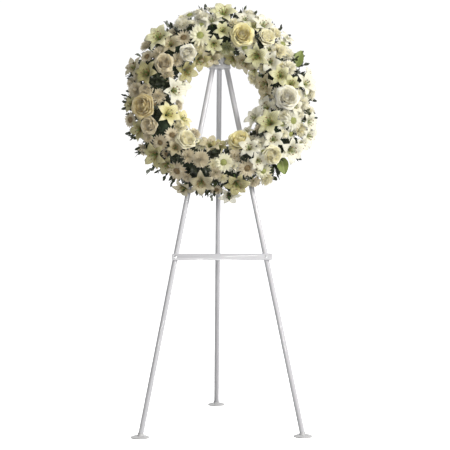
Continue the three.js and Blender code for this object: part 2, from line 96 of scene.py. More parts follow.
# The CAD's solid of each kind at full size, from its calyx to its furthest petal tip
FULL_SPREAD = {"rose": 31, "lily": 40, "mum": 28, "daisy": 30}
FULL_HEIGHT = {"rose": 42, "lily": 35, "mum": 30, "daisy": 20}

PETAL_THICKNESS = 0.35
SMALL_THICKNESS = 0.3
LEAF_THICKNESS = 0.5
CREASE = math.radians(50)  # edges sharper than this stay sharp


# ---- camera, floor and light

EYE = Vector((-0.146, -4.882, 0.900))
LOOK_RIGHT = math.radians(1.94)
LOOK_DOWN = math.radians(3.25)
LENS = 123.7
SENSOR = 36
WREATH_MIDDLE = (0, -0.13, 1.0)

ROOM_FRONT = 0.13  # how bright the room is in front of the object and behind it
ROOM_BACK = 0.95
ROOM_SEEN = 1.05  # and as the camera sees it
FLOOR_HALF = 60
FLOOR_GLOW = 0.80


def add_object(name, data):
    item = bpy.data.objects.new(name, data)
    bpy.context.scene.collection.objects.link(item)
    return item


def face_towards(item, direction):
    item.rotation_euler = Vector(direction).to_track_quat("-Z", "Y").to_euler()


def set_camera():
    data = bpy.data.cameras.new("camera")
    data.lens = LENS
    data.sensor_width = SENSOR
    camera = add_object("camera", data)
    camera.location = EYE
    level = math.cos(LOOK_DOWN)
    face_towards(camera, (level * math.sin(LOOK_RIGHT), level * math.cos(LOOK_RIGHT),
                          -math.sin(LOOK_DOWN)))
    bpy.context.scene.camera = camera


def soft_lamp(name, place, size, power, colour):
    """A round lamp that points at the wreath."""
    data = bpy.data.lights.new(name, "AREA")
    data.shape = "DISK"
    data.size = size
    data.energy = power
    data.color = colour
    lamp = add_object(name, data)
    lamp.location = place
    face_towards(lamp, Vector(WREATH_MIDDLE) - Vector(place))


def opaque(colour):
    return (*colour, 1.0) if isinstance(colour, tuple) else colour


class Graph:
    """Adds nodes to a tree. An input is another node's output or a value."""

    def __init__(self, tree):
        self.tree = tree
        tree.nodes.clear()

    def node(self, kind, inputs=None, **settings):
        made = self.tree.nodes.new(kind)
        for name, value in settings.items():
            setattr(made, name, value)
        for key, value in (inputs or {}).items():
            if isinstance(value, bpy.types.NodeSocket):
                self.tree.links.new(value, made.inputs[key])
            else:
                made.inputs[key].default_value = value
        return made

    def math(self, operation, *values):
        return self.node("ShaderNodeMath", dict(enumerate(values)), operation=operation).outputs[0]

    def add(self, first, second):
        return self.math("ADD", first, second)

    def times(self, first, second):
        return self.math("MULTIPLY", first, second)

    def blend(self, factor, low, high):
        inputs = {0: factor, 2: low, 3: high}
        return self.node("ShaderNodeMix", inputs, data_type="FLOAT").outputs[0]

    def tone(self, factor, low, high, blend_type="MIX"):
        """Mixes two colours, each an output or (red, green, blue)."""
        inputs = {0: factor, 6: opaque(low), 7: opaque(high)}
        made = self.node("ShaderNodeMix", inputs, data_type="RGBA", blend_type=blend_type)
        return made.outputs[2]

    def stretch(self, value, low, high, new_low=0.0, new_high=1.0):
        inputs = {0: value, 1: low, 2: high, 3: new_low, 4: new_high}
        return self.node("ShaderNodeMapRange", inputs, clamp=True).outputs[0]

    def noise(self, place, scale, detail=3.0):
        inputs = {"Scale": scale, "Detail": detail, "Roughness": 0.55, "Vector": place}
        return self.node("ShaderNodeTexNoise", inputs).outputs[0]

    def place(self):
        return self.node("ShaderNodeTexCoord").outputs["Object"]

    def tint(self):
        return self.node("ShaderNodeAttribute", attribute_name="tint").outputs["Fac"]


def white_room():
    """A white wall behind the object and a dimmer room in front. Both are pure white where seen."""
    world = bpy.data.worlds.new("room")
    bpy.context.scene.world = world
    world.use_nodes = True
    graph = Graph(world.node_tree)
    direction = graph.node("ShaderNodeTexCoord").outputs["Generated"]
    backward = graph.node("ShaderNodeSeparateXYZ", {0: direction}).outputs[1]
    glow = graph.stretch(backward, -0.3, 0.6, ROOM_FRONT, ROOM_BACK)
    seen = graph.node("ShaderNodeLightPath").outputs["Is Camera Ray"]
    strength = graph.blend(seen, glow, ROOM_SEEN)
    back = graph.node("ShaderNodeBackground", {"Color": (1, 1, 1, 1), "Strength": strength})
    graph.node("ShaderNodeOutputWorld", {0: back.outputs[0]})


def new_finish(name):
    material = bpy.data.materials.new(name)
    material.use_nodes = True
    return material, Graph(material.node_tree)


def floor():
    mesh = bpy.data.meshes.new("floor")
    corners = [(x * FLOOR_HALF, y * FLOOR_HALF, 0) for x, y in ((-1, -1), (1, -1), (1, 1), (-1, 1))]
    mesh.from_pydata(corners, [], [(0, 1, 2, 3)])
    material, graph = new_finish("pale_floor")
    colour = graph.tone(graph.noise(graph.place(), 40.0), (0.90, 0.90, 0.90), (0.94, 0.94, 0.94))
    skin = graph.node("ShaderNodeBsdfPrincipled", {
        "Base Color": colour, "Roughness": 0.9,
        "Emission Color": (1, 1, 1, 1), "Emission Strength": FLOOR_GLOW,
    })
    graph.node("ShaderNodeOutputMaterial", {0: skin.outputs[0]})
    mesh.materials.append(material)
    piece = add_object("floor", mesh)
    piece.visible_diffuse = False


set_camera()
white_room()
floor()
soft_lamp("key", (3.2, -2.6, 2.6), 0.9, 185, (1.0, 0.985, 0.95))
soft_lamp("front", (0.4, -4.6, 1.3), 0.9, 90, (1.0, 0.99, 0.96))
soft_lamp("rear", (-1.8, 3.6, 2.4), 1.8, 14, (1.0, 1.0, 1.0))
bpy.context.scene.view_settings.view_transform = "Standard"


# ---- finishes

DEEP_TONE = (0.82, 0.74, 0.58)  # what the petals of deepest tone keep of their red, green and blue
VEINS_ACROSS = 34.0  # in radians of the wave that draws them


def grown_finish(name):
    """A material, its graph, and how far across and along the petal or leaf each place is."""
    material, graph = new_finish(name)
    uv = graph.node("ShaderNodeUVMap", uv_map="UVMap").outputs[0]
    across, along, _ = graph.node("ShaderNodeSeparateXYZ", {0: uv}).outputs
    return material, graph, across, along


def end_finish(graph, colour, roughness, height, depth, reach, **fixed):
    """The shader and its output. Only colour, roughness and bump may be linked."""
    bump = graph.node("ShaderNodeBump", {"Height": height, "Strength": depth, "Distance": reach})
    inputs = {"Base Color": colour, "Roughness": roughness, "Normal": bump.outputs[0]}
    inputs.update({name.replace("_", " "): value for name, value in fixed.items()})
    skin = graph.node("ShaderNodeBsdfPrincipled", inputs)
    graph.node("ShaderNodeOutputMaterial", {0: skin.outputs[0]})


def petal_finish(name, body, edge, heart, heart_reach, blush, vein):
    """A petal: its heart colour runs out of the base, and fine veins run along it."""
    material, graph, across, along = grown_finish(name)
    place = graph.place()
    cloud = graph.noise(place, 140.0)
    reach = graph.add(along, graph.times(graph.math("SUBTRACT", cloud, 0.5), 0.25))
    base = graph.tone(graph.stretch(reach, 0.02, heart_reach), heart, body)
    base = graph.tone(graph.stretch(reach, 0.72, 1.0), base, edge)
    deep_tone = tuple(channel * shade for channel, shade in zip(body, DEEP_TONE))
    base = graph.tone(graph.times(graph.tint(), blush * 2), base, deep_tone)
    waves = graph.add(graph.times(across, VEINS_ACROSS), graph.times(cloud, 3.0))
    stripe = graph.stretch(graph.math("SINE", waves), -1.0, 1.0)
    base = graph.tone(graph.times(stripe, vein), base, heart, "MULTIPLY")
    relief = graph.add(graph.times(stripe, 0.5), graph.times(graph.noise(place, 900.0), 0.5))
    end_finish(graph, base, 0.52, relief, 0.25, 0.0004, Subsurface_Weight=0.4,
               Subsurface_Radius=(1.0, 0.92, 0.7), Subsurface_Scale=0.010, Sheen_Weight=0.15,
               Specular_IOR_Level=0.35)
    return material


def leaf_finish(name, blade, rib, twig, roughness):
    """A leaf: paler midrib and side veins, and the twig's colour at its foot."""
    material, graph, across, along = grown_finish(name)
    place = graph.place()
    aside = graph.math("ABSOLUTE", graph.math("SUBTRACT", across, 0.5))
    midrib = graph.stretch(aside, 0.0, 0.07, 1.0, 0.0)
    slant = graph.math("SUBTRACT", graph.times(along, 52.0), graph.times(aside, 44.0))
    vein = graph.stretch(graph.math("SINE", slant), 0.75, 1.0)
    lines = graph.math("MAXIMUM", midrib, graph.times(vein, 0.45))
    cloud = graph.noise(place, 70.0)
    young = tuple(0.5 * (a + b) for a, b in zip(blade, rib))
    base = graph.tone(graph.times(graph.tint(), cloud), blade, young)
    base = graph.tone(lines, base, rib)
    base = graph.tone(graph.stretch(along, 0.0, 0.06), twig, base)
    relief = graph.add(lines, graph.times(graph.noise(place, 600.0), 0.4))
    rough = graph.stretch(cloud, 0.3, 0.7, roughness - 0.06, roughness + 0.1)
    end_finish(graph, base, rough, relief, 0.4, 0.0005, Subsurface_Weight=0.05,
               Subsurface_Radius=(0.8, 1.0, 0.3), Subsurface_Scale=0.002)
    return material


def painted_metal():
    """White powder paint, in mid greys that are painted shade: a faint orange peel, and a little
    grey where hands have rubbed it.
    """
    material, graph = new_finish("white_paint_in_painted_shade")
    place = graph.place()
    rub = graph.stretch(graph.noise(place, 9.0, 5.0), 0.45, 0.75)
    # The paint is white; these mid greys are painted shade, so the tubes come out light grey under
    # the strong lamps.
    base = graph.tone(rub, (0.55, 0.55, 0.58), (0.51, 0.51, 0.54))
    speck = graph.stretch(graph.noise(place, 320.0, 2.0), 0.70, 0.76)
    base = graph.tone(graph.times(speck, 0.35), base, (0.42, 0.42, 0.43))
    rough = graph.stretch(graph.noise(place, 30.0), 0.3, 0.7, 0.34, 0.48)
    end_finish(graph, base, rough, graph.noise(place, 1100.0, 2.0), 0.12, 0.0003, Coat_Weight=0.2)
    return material


def moulded_plastic(name, light, dark, roughness):
    material, graph = new_finish(name)
    place = graph.place()
    scuff = graph.stretch(graph.noise(place, 60.0, 6.0), 0.5, 0.8)
    base = graph.tone(scuff, light, dark)
    rough = graph.stretch(graph.noise(place, 90.0), 0.3, 0.7, roughness - 0.08, roughness + 0.1)
    end_finish(graph, base, rough, graph.noise(place, 1500.0, 2.0), 0.15, 0.0002)
    return material


def zinc_plate():
    """Bright zinc plate: fine lines round each screw, and dull spots."""
    material, graph = new_finish("zinc_plate")
    place = graph.place()
    dull = graph.stretch(graph.noise(place, 700.0), 0.45, 0.7)
    base = graph.tone(dull, (0.72, 0.73, 0.74), (0.50, 0.51, 0.52))
    lines = graph.node("ShaderNodeTexWave", {"Scale": 1600.0, "Distortion": 2.0, "Vector": place})
    rough = graph.stretch(graph.noise(place, 500.0), 0.3, 0.7, 0.22, 0.42)
    end_finish(graph, base, rough, lines.outputs["Fac"], 0.1, 0.0001, Metallic=1.0)
    return material


def cells(graph, place, scale):
    return graph.node("ShaderNodeTexVoronoi", {"Scale": scale, "Vector": place}).outputs["Distance"]


def wet_foam():
    """Floral foam: a crumbling surface of tiny cells."""
    material, graph = new_finish("wet_floral_foam")
    place = graph.place()
    damp = graph.stretch(graph.noise(place, 30.0, 4.0), 0.35, 0.7)
    base = graph.tone(damp, (0.012, 0.022, 0.010), (0.026, 0.042, 0.020))
    relief = graph.add(cells(graph, place, 900.0), graph.noise(place, 160.0, 5.0))
    end_finish(graph, base, 0.95, relief, 0.8, 0.0012)
    return material


def pollen(name, light, dark):
    """Powdery grains, for anthers and the eyes of the daisies."""
    material, graph = new_finish(name)
    place = graph.place()
    mixed = graph.times(graph.add(graph.tint(), graph.noise(place, 800.0)), 0.5)
    base = graph.tone(mixed, light, dark)
    end_finish(graph, base, 0.85, cells(graph, place, 2600.0), 0.5, 0.0004, Sheen_Weight=0.3)
    return material


SHADED_PAINT = painted_metal()
# The feet are white plastic; their mid greys are painted shade, standing for the shade round them
# on the floor.
SHADED_FOOT_PLASTIC = moulded_plastic("white_foot_plastic_in_painted_shade", (0.50, 0.50, 0.51), (0.42, 0.42, 0.43), 0.42)
TRAY_PLASTIC = moulded_plastic(
    "green_tray_plastic", (0.012, 0.034, 0.014), (0.024, 0.052, 0.024), 0.60)
ZINC = zinc_plate()
FOAM = wet_foam()

# Near-black leaves: real dark foliage, drawn darker than leaves are, as painted shade in the gaps
# between the blooms.
DARK_LEAF_AND_SHADE = leaf_finish(
    "dark_leaf_and_painted_shade", (0.013, 0.018, 0.008), (0.045, 0.055, 0.026), (0.04, 0.042, 0.02), 0.5)
MID_LEAF = leaf_finish(
    "mid_leaf", (0.040, 0.053, 0.018), (0.110, 0.130, 0.055), (0.08, 0.085, 0.035), 0.45)
GREY_LEAF = leaf_finish(
    "grey_leaf", (0.22, 0.24, 0.20), (0.36, 0.38, 0.33), (0.20, 0.18, 0.13), 0.6)
BROAD_LEAF = leaf_finish(
    "broad_leaf", (0.20, 0.25, 0.065), (0.34, 0.39, 0.15), (0.24, 0.27, 0.09), 0.36)
STEM_GREEN = leaf_finish(
    "stem_green", (0.10, 0.17, 0.045), (0.18, 0.26, 0.08), (0.12, 0.19, 0.05), 0.45)
RUST_POLLEN = pollen("rust_pollen", (0.26, 0.105, 0.020), (0.10, 0.040, 0.010))
GREEN_EYE = pollen("green_eye", (0.42, 0.44, 0.14), (0.24, 0.27, 0.07))
BROWN_EYE = pollen("brown_eye", (0.28, 0.20, 0.07), (0.12, 0.075, 0.03))


# ---- meshes

def grid_uv(rows, across):
    """UVs for rows along a sheet, with its points at those places across."""
    v, u = np.meshgrid(np.linspace(0, 1, rows), across, indexing="ij")
    return np.stack([u.ravel(), v.ravel()], axis=1)


class Sheets:
    """One mesh in the making. Every part of it is a closed shell with a UV and a tint."""

    def __init__(self):
        self.points = []
        self.uvs = []
        self.tints = []
        self.faces = []
        self.finishes = []
        self.count = 0

    def add(self, points, uvs, faces, finish, tint):
        self.points.append(points)
        self.uvs.append(uvs)
        self.tints.append(np.full(len(points), tint))
        self.faces.extend([tuple(corner + self.count for corner in face) for face in faces])
        self.finishes.extend([finish] * len(faces))
        self.count += len(points)

    def shell(self, grid, finish, tint=0.5, thickness=PETAL_THICKNESS):
        """A thin closed skin round a grid of points, rows along the petal and columns across it."""
        rows, columns = grid.shape[:2]
        number = rows * columns
        normal = np.cross(np.gradient(grid, axis=1), np.gradient(grid, axis=0))
        normal /= np.maximum(np.linalg.norm(normal, axis=2, keepdims=True), 1e-9)
        half = normal * thickness / 2
        points = np.concatenate([(grid + half).reshape(-1, 3), (grid - half).reshape(-1, 3)])
        uv = grid_uv(rows, np.linspace(0, 1, columns))
        ids = np.arange(number).reshape(rows, columns)
        front = np.stack([ids[:-1, :-1], ids[:-1, 1:], ids[1:, 1:], ids[1:, :-1]], -1)
        front = front.reshape(-1, 4)
        back = front[:, ::-1] + number
        rim = np.concatenate([ids[0, :-1], ids[:-1, -1], ids[-1, :0:-1], ids[:0:-1, 0]])
        after = np.roll(rim, -1)
        side = np.stack([rim, rim + number, after + number, after], -1)
        faces = np.concatenate([front, back, side]).tolist()
        self.add(points, np.concatenate([uv, uv]), faces, finish, tint)

    def rod(self, path, radii, finish, tint=0.5, sides=6):
        """A closed round rod along a path, with its radius at each point."""
        path = np.asarray(path, dtype=float)
        radii = np.asarray(radii, dtype=float)
        along = np.gradient(path, axis=0)
        along /= np.linalg.norm(along, axis=1, keepdims=True)
        aid = (1.0, 0.0, 0.0) if abs(along[:, 0]).max() < 0.8 else (0.0, 1.0, 0.0)
        side = np.cross(aid, along)
        side /= np.linalg.norm(side, axis=1, keepdims=True)
        up = np.cross(along, side)
        turn = (np.arange(sides) * 2 * math.pi / sides)[None, :, None]
        ring = np.cos(turn) * side[:, None, :] + np.sin(turn) * up[:, None, :]
        points = (path[:, None, :] + radii[:, None, None] * ring).reshape(-1, 3)
        uv = grid_uv(len(path), np.arange(sides) / sides)
        ids = np.arange(len(path) * sides).reshape(len(path), sides)
        after = np.roll(ids, -1, axis=1)
        faces = np.stack([ids[:-1], after[:-1], after[1:], ids[1:]], -1).reshape(-1, 4).tolist()
        faces += [ids[0, ::-1].tolist(), ids[-1].tolist()]
        self.add(points, uv, faces, finish, tint)

    def mesh(self, name):
        mesh = bpy.data.meshes.new(name)
        mesh.from_pydata(np.concatenate(self.points).tolist(), [], self.faces)
        corner = np.empty(len(mesh.loops), dtype=np.int32)
        mesh.loops.foreach_get("vertex_index", corner)
        uvs = np.concatenate(self.uvs)[corner].ravel()
        mesh.uv_layers.new(name="UVMap").data.foreach_set("uv", uvs)
        tints = np.concatenate(self.tints)
        mesh.attributes.new("tint", "FLOAT", "POINT").data.foreach_set("value", tints)
        used = list(dict.fromkeys(self.finishes))
        for finish in used:
            mesh.materials.append(finish)
        places = {finish: place for place, finish in enumerate(used)}
        mesh.polygons.foreach_set("material_index", [places[finish] for finish in self.finishes])
        return mesh


def soften(mesh):
    """Smooth shading but for the creases."""
    mesh.shade_smooth()
    mesh.set_sharp_from_angle(angle=CREASE)
    mesh.update()


def bezier(corners, share):
    """Points on a cubic curve with those four control points, for an array of shares of it."""
    a, b, c, d = (np.array(corner, dtype=float) for corner in corners)
    t = np.asarray(share)[..., None]
    return (1 - t) ** 3 * a + 3 * (1 - t) ** 2 * t * b + 3 * (1 - t) * t * t * c + t ** 3 * d


def from_edges(count):
    """Places from -1 to 1, closer together near the ends, as a row."""
    even = np.linspace(-1, 1, count)
    return (np.sin(even * math.pi / 2) * 0.55 + even * 0.45)[None, :]


def around(radius, angle, height):
    """Points at those radii, angles and heights about the flower's axis."""
    return np.stack([radius * np.cos(angle), radius * np.sin(angle), height], axis=-1)


def beside(radius, side, turn, height):
    """Points out along one direction from the flower's axis, and to its side."""
    x = radius * math.cos(turn) - side * math.sin(turn)
    y = radius * math.sin(turn) + side * math.cos(turn)
    return np.stack([x, y, height + 0 * x], axis=-1)


def any_turn(rng):
    """An angle to start from."""
    return rng.uniform(0, 6)


# ---- seats in the wreath

def wreath_space():
    """From the wreath's own space, x right, y back and z up its slope, to the row frame."""
    low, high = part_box("ring_tray")
    lean = Matrix.Rotation(-WREATH_LEAN, 4, "X")
    middle = (Vector(low) + Vector(high)) / 2
    back = middle + lean @ Vector((0, TRAY_DEPTH / 2 * MM, 0))
    return Matrix.Translation(back) @ lean @ Matrix.Scale(MM, 4)


WREATH = wreath_space()
FORWARD = Vector((0, -1, 0))


def ring_point(clock):
    """On the foam's axis. The clock angle runs clockwise from the top, as seen from the front."""
    return Vector((RING_RADIUS * math.sin(clock), -FOAM_AXIS_DEPTH, RING_RADIUS * math.cos(clock)))


def outward(clock, lean):
    """A direction that leans from straight forward out towards the rim."""
    spread = math.sin(lean)
    return Vector((math.sin(clock) * spread, -math.cos(lean), math.cos(clock) * spread))


def kind_of(name):
    return name.split("_")[0]


class Seat:
    """Where a bloom stands: its root on the foam's axis, the way that its stem comes out, how far
    from the root its calyx is, its head's height, and its size."""

    def __init__(self, kind, clock, away, calyx, height, size):
        self.root = ring_point(clock)
        self.away = away
        self.calyx = calyx
        self.height = height
        self.size = size
        self.middle = self.root + away * (calyx + height / 2)
        self.spread = FULL_SPREAD[kind] * size

    def stand(self, turned, spin):
        """The bloom's own space, in the wreath's, with its head turned by a share towards the
        viewer about its middle, and its stem as a curve in its own space."""
        facing = (self.away * (1 - turned) + FORWARD * turned).normalized()
        base = self.middle - facing * self.height / 2
        upright = facing.to_track_quat("Z", "Y").to_matrix().to_4x4()
        place = (Matrix.Translation(base) @ upright @ Matrix.Rotation(spin, 4, "Z")
                 @ Matrix.Scale(self.size, 4))
        foot = self.root + self.away * STEM_TIP
        exit_point = self.root + self.away * FOAM_RADIUS
        back = place.inverted()
        neck = 0.4 * (back @ exit_point).length
        return place, [back @ foot, back @ exit_point, Vector((0, 0, -neck)), Vector((0, 0, 0))]


def measured_seat(node):
    """The seat of a bloom of the CAD, measured on its solid, whose points lie evenly round its
    axis."""
    mesh = frame["nodes"][node].data
    flat = np.empty(len(mesh.vertices) * 3)
    mesh.vertices.foreach_get("co", flat)
    back = np.array(WREATH.inverted())
    points = flat.reshape(-1, 3) @ back[:3, :3].T + back[:3, 3]
    points = np.unique(points.round(2), axis=0)
    middle = points.mean(axis=0)
    clock = math.atan2(middle[0], middle[2])
    root = np.array(ring_point(clock))
    away = (middle - root) / np.linalg.norm(middle - root)
    rise = (points - root) @ away
    aside = np.linalg.norm(points - root - np.outer(rise, away), axis=1)
    calyx = rise[aside > 2 * STEM_RADIUS].min()
    kind = kind_of(node)
    size = aside.max() / FULL_SPREAD[kind]
    return Seat(kind, clock, Vector(away), calyx, rise.max() - calyx, size)


def added_seat(petals, clock, lean, size, calyx):
    kind = kind_of(petals)
    away = outward(math.radians(clock), math.radians(lean))
    return Seat(kind, math.radians(clock), away, calyx, FULL_HEIGHT[kind] * size, size)


def add_stem(sheets, curve, calyx_radius, calyx_height):
    """A stem that swells into a green cup under the petals."""
    path = [tuple(point) for point in bezier(curve, np.linspace(0, 1, 6))]
    path += [(0, 0, calyx_height * share) for share in (0.25, 0.6, 1.0)]
    radii = [STEM_RADIUS] * 6 + [calyx_radius * share for share in (0.7, 1.0, 0.9)]
    sheets.rod(path, radii, STEM_GREEN, sides=10)


# ---- roses

# From the heart out: petals in the row, the curve that they rise along from the calyx as
# [radius, height], how far a petal's edges turn back, and the points along and across a petal
ROSE_ROWS = [
    (3, [(2, 8), (8, 9), (8.5, 26), (7.0, 40.5)], 0.00, (8, 9)),
    (4, [(3, 6), (13, 8), (12.5, 28), (12, 41.5)], 0.03, (8, 11)),
    (5, [(3, 5), (18, 7), (16.5, 33), (18.0, 40.5)], 0.06, (9, 11)),
    (5, [(4, 4), (22, 6), (19.5, 38), (24.0, 36)], 0.08, (10, 13)),
    (6, [(4, 4), (25, 5), (21.5, 37), (28.5, 30)], 0.10, (11, 13)),
    (5, [(4, 3), (23, 3), (25, 28), (31.0, 20)], 0.12, (11, 13)),
]
BUD_TURNS = 2.4
BUD_RADIUS = 6.2
BUD_EDGE = 0.8  # the radius where it starts
WIDEST = 0.66  # how far up a petal is at its widest
SEPALS = 5
SEPAL_LENGTH = 17
SEPAL_HALF_WIDTH = 3.2


def cupped_petal(turn, half_angle, curve, edge_back, grid, rng):
    """A petal wrapped round the axis: rounded at the rim, with one edge under its neighbour."""
    rows, columns = grid
    u = from_edges(columns)
    v = np.sin(np.linspace(0, 1, rows) * math.pi / 2)[:, None] ** 1.15
    reach = v * (1 - 0.10 * u * u)
    place = bezier(curve, reach)
    radius, height = place[..., 0], place[..., 1]
    below = 0.60 + 0.40 * np.sin(np.minimum(v / WIDEST, 1) * math.pi / 2)
    above = np.sqrt(1 - 0.80 * np.maximum((v - WIDEST) / (1 - WIDEST), 0) ** 2.4)
    angle = turn + u * half_angle * below * above
    ripple = rng.uniform(0.2, 0.8) * np.sin(u * rng.uniform(2, 4) + any_turn(rng)) * v ** 4
    radius = radius * (1 + 0.07 * u + edge_back * u * u * v * v) + 0.6 * ripple
    height = height - edge_back * 26 * np.abs(u) ** 3 * v ** 3 + 0.6 * ripple
    height = height + 0.8 * np.exp(-(u / 0.22) ** 2) * v ** 8  # the rim's small point
    return around(radius, angle, height)


def bud(rng):
    """The furled heart: one petal edge wound round itself."""
    share = np.linspace(0, 1, 44)[None, :]
    v = np.linspace(0, 1, 5)[:, None]
    turn = share * BUD_TURNS * 2 * math.pi + any_turn(rng)
    radius = (BUD_EDGE + (BUD_RADIUS - BUD_EDGE) * share ** 0.8) * (1 - 0.10 * v)
    height = 18 + v * (20.5 + 1.2 * np.sin(turn * 1.5) - 1.0 * (1 - share))
    return around(radius, turn, height)


def sepal(turn):
    v = np.linspace(0, 1, 5)[:, None]
    side = from_edges(3) * (SEPAL_HALF_WIDTH * (1 - v) ** 0.8 + 0.15)
    return beside(3.5 + SEPAL_LENGTH * 0.8 * v, side, turn, 3 - 6 * v * (1 - 0.4 * v))


def rose(name, stem, finish, openness, _fine, rng):
    """Openness spreads the outer rows: 0.9 is still a little closed, and 1.05 is full blown."""
    sheets = Sheets()
    add_stem(sheets, stem, 6.0, 7.0)
    for k in range(SEPALS):
        turn = k * 2 * math.pi / SEPALS + rng.uniform(-0.1, 0.1)
        sheets.shell(sepal(turn), STEM_GREEN, rng.random())
    sheets.shell(bud(rng), finish, 0.9)
    start = any_turn(rng)
    for row, (count, curve, edge_back, grid) in enumerate(ROSE_ROWS):
        start += rng.uniform(0.4, 0.9)
        spread = 1 + (openness - 1) * row / (len(ROSE_ROWS) - 1)
        for k in range(count):
            tall = rng.uniform(0.965, 1.02)
            own = [(r * spread * rng.uniform(0.97, 1.03), z * tall) for r, z in curve]
            turn = start + (k + rng.uniform(-0.08, 0.08)) * 2 * math.pi / count
            half = math.pi / count * rng.uniform(1.25, 1.42)
            # Inner rows take more of the deeper, yellower tone, so the heart is deeper in colour
            # than the outer petals.
            inwardness = (len(ROSE_ROWS) - row) / len(ROSE_ROWS)
            tint = min(1.0, 0.55 * inwardness + rng.uniform(0, 0.35))
            sheets.shell(cupped_petal(turn, half, own, edge_back, grid, rng), finish, tint)
    return sheets.mesh(name)


# ---- lilies

FINE_TEPAL = (14, 9)  # points along and across it
SMALL_TEPAL = (9, 7)
# The curve that it rises along, as [radius, height], and half its width
INNER_TEPAL = [(2, 2), (7, 24), (24, 38), (41, 30)], 13.5
OUTER_TEPAL = [(2, 1), (9, 20), (25, 34), (43, 25)], 10.5


def tepal(turn, curve, half_width, grid, rng):
    """A long pointed petal: a channel near its foot, a groove down its middle and wavy edges."""
    rows, columns = grid
    u = from_edges(columns)
    v = np.linspace(0, 1, rows)
    line = bezier(curve, v)
    step = np.gradient(line, axis=0)
    step /= np.linalg.norm(step, axis=1, keepdims=True)
    v = v[:, None]
    width = half_width * np.sin(math.pi * v ** 0.88) ** 0.78 + 1.6 * (1 - v) ** 2 + 0.12
    channel = 3.4 * (1 - v) ** 1.2 - 1.6 * v ** 2
    groove = -0.9 * np.exp(-(u / 0.16) ** 2) * np.sin(math.pi * np.minimum(v * 1.2, 1))
    phase = any_turn(rng)
    wave = 1.3 * np.sin(v * 17 + phase + 1.5 * np.sign(u)) * np.abs(u) ** 3 * np.sin(math.pi * v)
    lift = channel * u * u + groove + wave
    radius = line[:, :1] - step[:, 1:] * lift
    height = line[:, 1:] + step[:, :1] * lift
    return beside(radius, u * width, turn, height)


def stamen(sheets, turn, lean, fine, rng):
    """A curved thread with an anther rocking on its end."""
    reach = rng.uniform(26, 30)
    share = np.linspace(0, 1, 6 if fine else 4)
    path = around(1.2 + reach * lean * share ** 1.6, turn, 3 + reach * share)
    sheets.rod(path, np.linspace(0.6, 0.4, len(path)), STEM_GREEN, 0.9, sides=5 if fine else 3)
    aside = np.array([-math.sin(turn), math.cos(turn), rng.uniform(-0.3, 0.5)])
    aside /= np.linalg.norm(aside)
    radii = [0.3, 0.95, 1.15, 1.15, 0.95, 0.3] if fine else [0.5, 1.3, 1.3, 0.5]
    steps = np.linspace(-3.2, 3.2, len(radii))
    sheets.rod([path[-1] + aside * step for step in steps], radii, RUST_POLLEN, rng.random(),
               sides=6 if fine else 4)


def lily(name, stem, finish, openness, fine, rng):
    sheets = Sheets()
    add_stem(sheets, stem, 3.4, 4.0)
    turn = any_turn(rng)
    for k in range(6):
        curve, half_width = INNER_TEPAL if k % 2 else OUTER_TEPAL
        far = openness * rng.uniform(0.93, 1.03)
        drop = rng.uniform(0.82, 1.08)
        curve = [(r * (far if r > 10 else 1), z * (drop if r > 30 else 1)) for r, z in curve]
        own_turn = turn + k * math.pi / 3 + rng.uniform(-0.10, 0.10)
        half_width *= rng.uniform(0.88, 1.06)
        sheet = tepal(own_turn, curve, half_width, FINE_TEPAL if fine else SMALL_TEPAL, rng)
        sheets.shell(sheet, finish, rng.uniform(0, 0.7))
    for k in range(6):
        stamen(sheets, turn + 0.26 + k * math.pi / 3, rng.uniform(0.28, 0.42), fine, rng)
    share = np.linspace(0, 1, 6)
    pistil = np.stack([2.5 * share ** 2, 1.5 * share ** 2, 3 + 31 * share], axis=1)
    sheets.rod(pistil, [1.3, 0.8, 0.7, 0.7, 1.5, 1.1], STEM_GREEN, 1.0)
    return sheets.mesh(name)


# ---- whorls: mums, daisies, sprigs

WHORL_INPUTS = [("Part", "Object"), ("Finish", "Material"), ("Count", "Int"), ("Seed", "Int")] + [
    (label, "Float") for label in (
        "Step", "Crowding", "Wobble", "Bend", "Inner radius", "Outer radius", "Inner height",
        "Outer height", "Inner tilt", "Outer tilt", "Inner size", "Outer size")]


def new_tree(name, inputs):
    tree = bpy.data.node_groups.new(name, "GeometryNodeTree")
    tree.interface.new_socket("Geometry", in_out="INPUT", socket_type="NodeSocketGeometry")
    for label, kind in inputs:
        tree.interface.new_socket(label, in_out="INPUT", socket_type="NodeSocket" + kind)
    tree.interface.new_socket("Geometry", in_out="OUTPUT", socket_type="NodeSocketGeometry")
    return tree, Graph(tree)


def copies_on(graph, points, part, turn, size):
    part = graph.node("GeometryNodeObjectInfo", {"Object": part}).outputs["Geometry"]
    return graph.node("GeometryNodeInstanceOnPoints", {
        "Points": points, "Instance": part, "Rotation": turn, "Scale": size}).outputs[0]


def made_real(graph, copies, finish):
    real = graph.node("GeometryNodeRealizeInstances", {"Geometry": copies}).outputs[0]
    return graph.node("GeometryNodeSetMaterial", {"Geometry": real, "Material": finish}).outputs[0]


def whorl_places(graph, given, chance):
    """Where each copy stands, how it is turned, and its size."""
    index = graph.node("GeometryNodeInputIndex").outputs[0]
    last = graph.math("MAXIMUM", graph.math("SUBTRACT", given["Count"], 1.0), 1.0)
    share = graph.math("POWER", graph.math("DIVIDE", index, last), given["Crowding"])
    radius, height, tilt, size = (
        graph.blend(share, given["Inner " + label], given["Outer " + label])
        for label in ("radius", "height", "tilt", "size"))
    stray = [graph.times(chance(k), given["Wobble"]) for k in range(4)]
    angle = graph.add(graph.times(index, given["Step"]), stray[0])
    bend = graph.times(given["Bend"], graph.times(share, share))
    x = graph.add(graph.times(graph.math("COSINE", angle), radius), bend)
    y = graph.times(graph.math("SINE", angle), radius)
    place = graph.node("ShaderNodeCombineXYZ", {0: x, 1: y, 2: height}).outputs[0]
    tilt = graph.times(graph.add(tilt, stray[1]), -1.0)
    turn = graph.node("ShaderNodeCombineXYZ", {0: stray[2], 1: tilt, 2: angle}).outputs[0]
    size = graph.times(size, graph.add(1.0, graph.times(stray[3], 0.5)))
    return place, turn, size


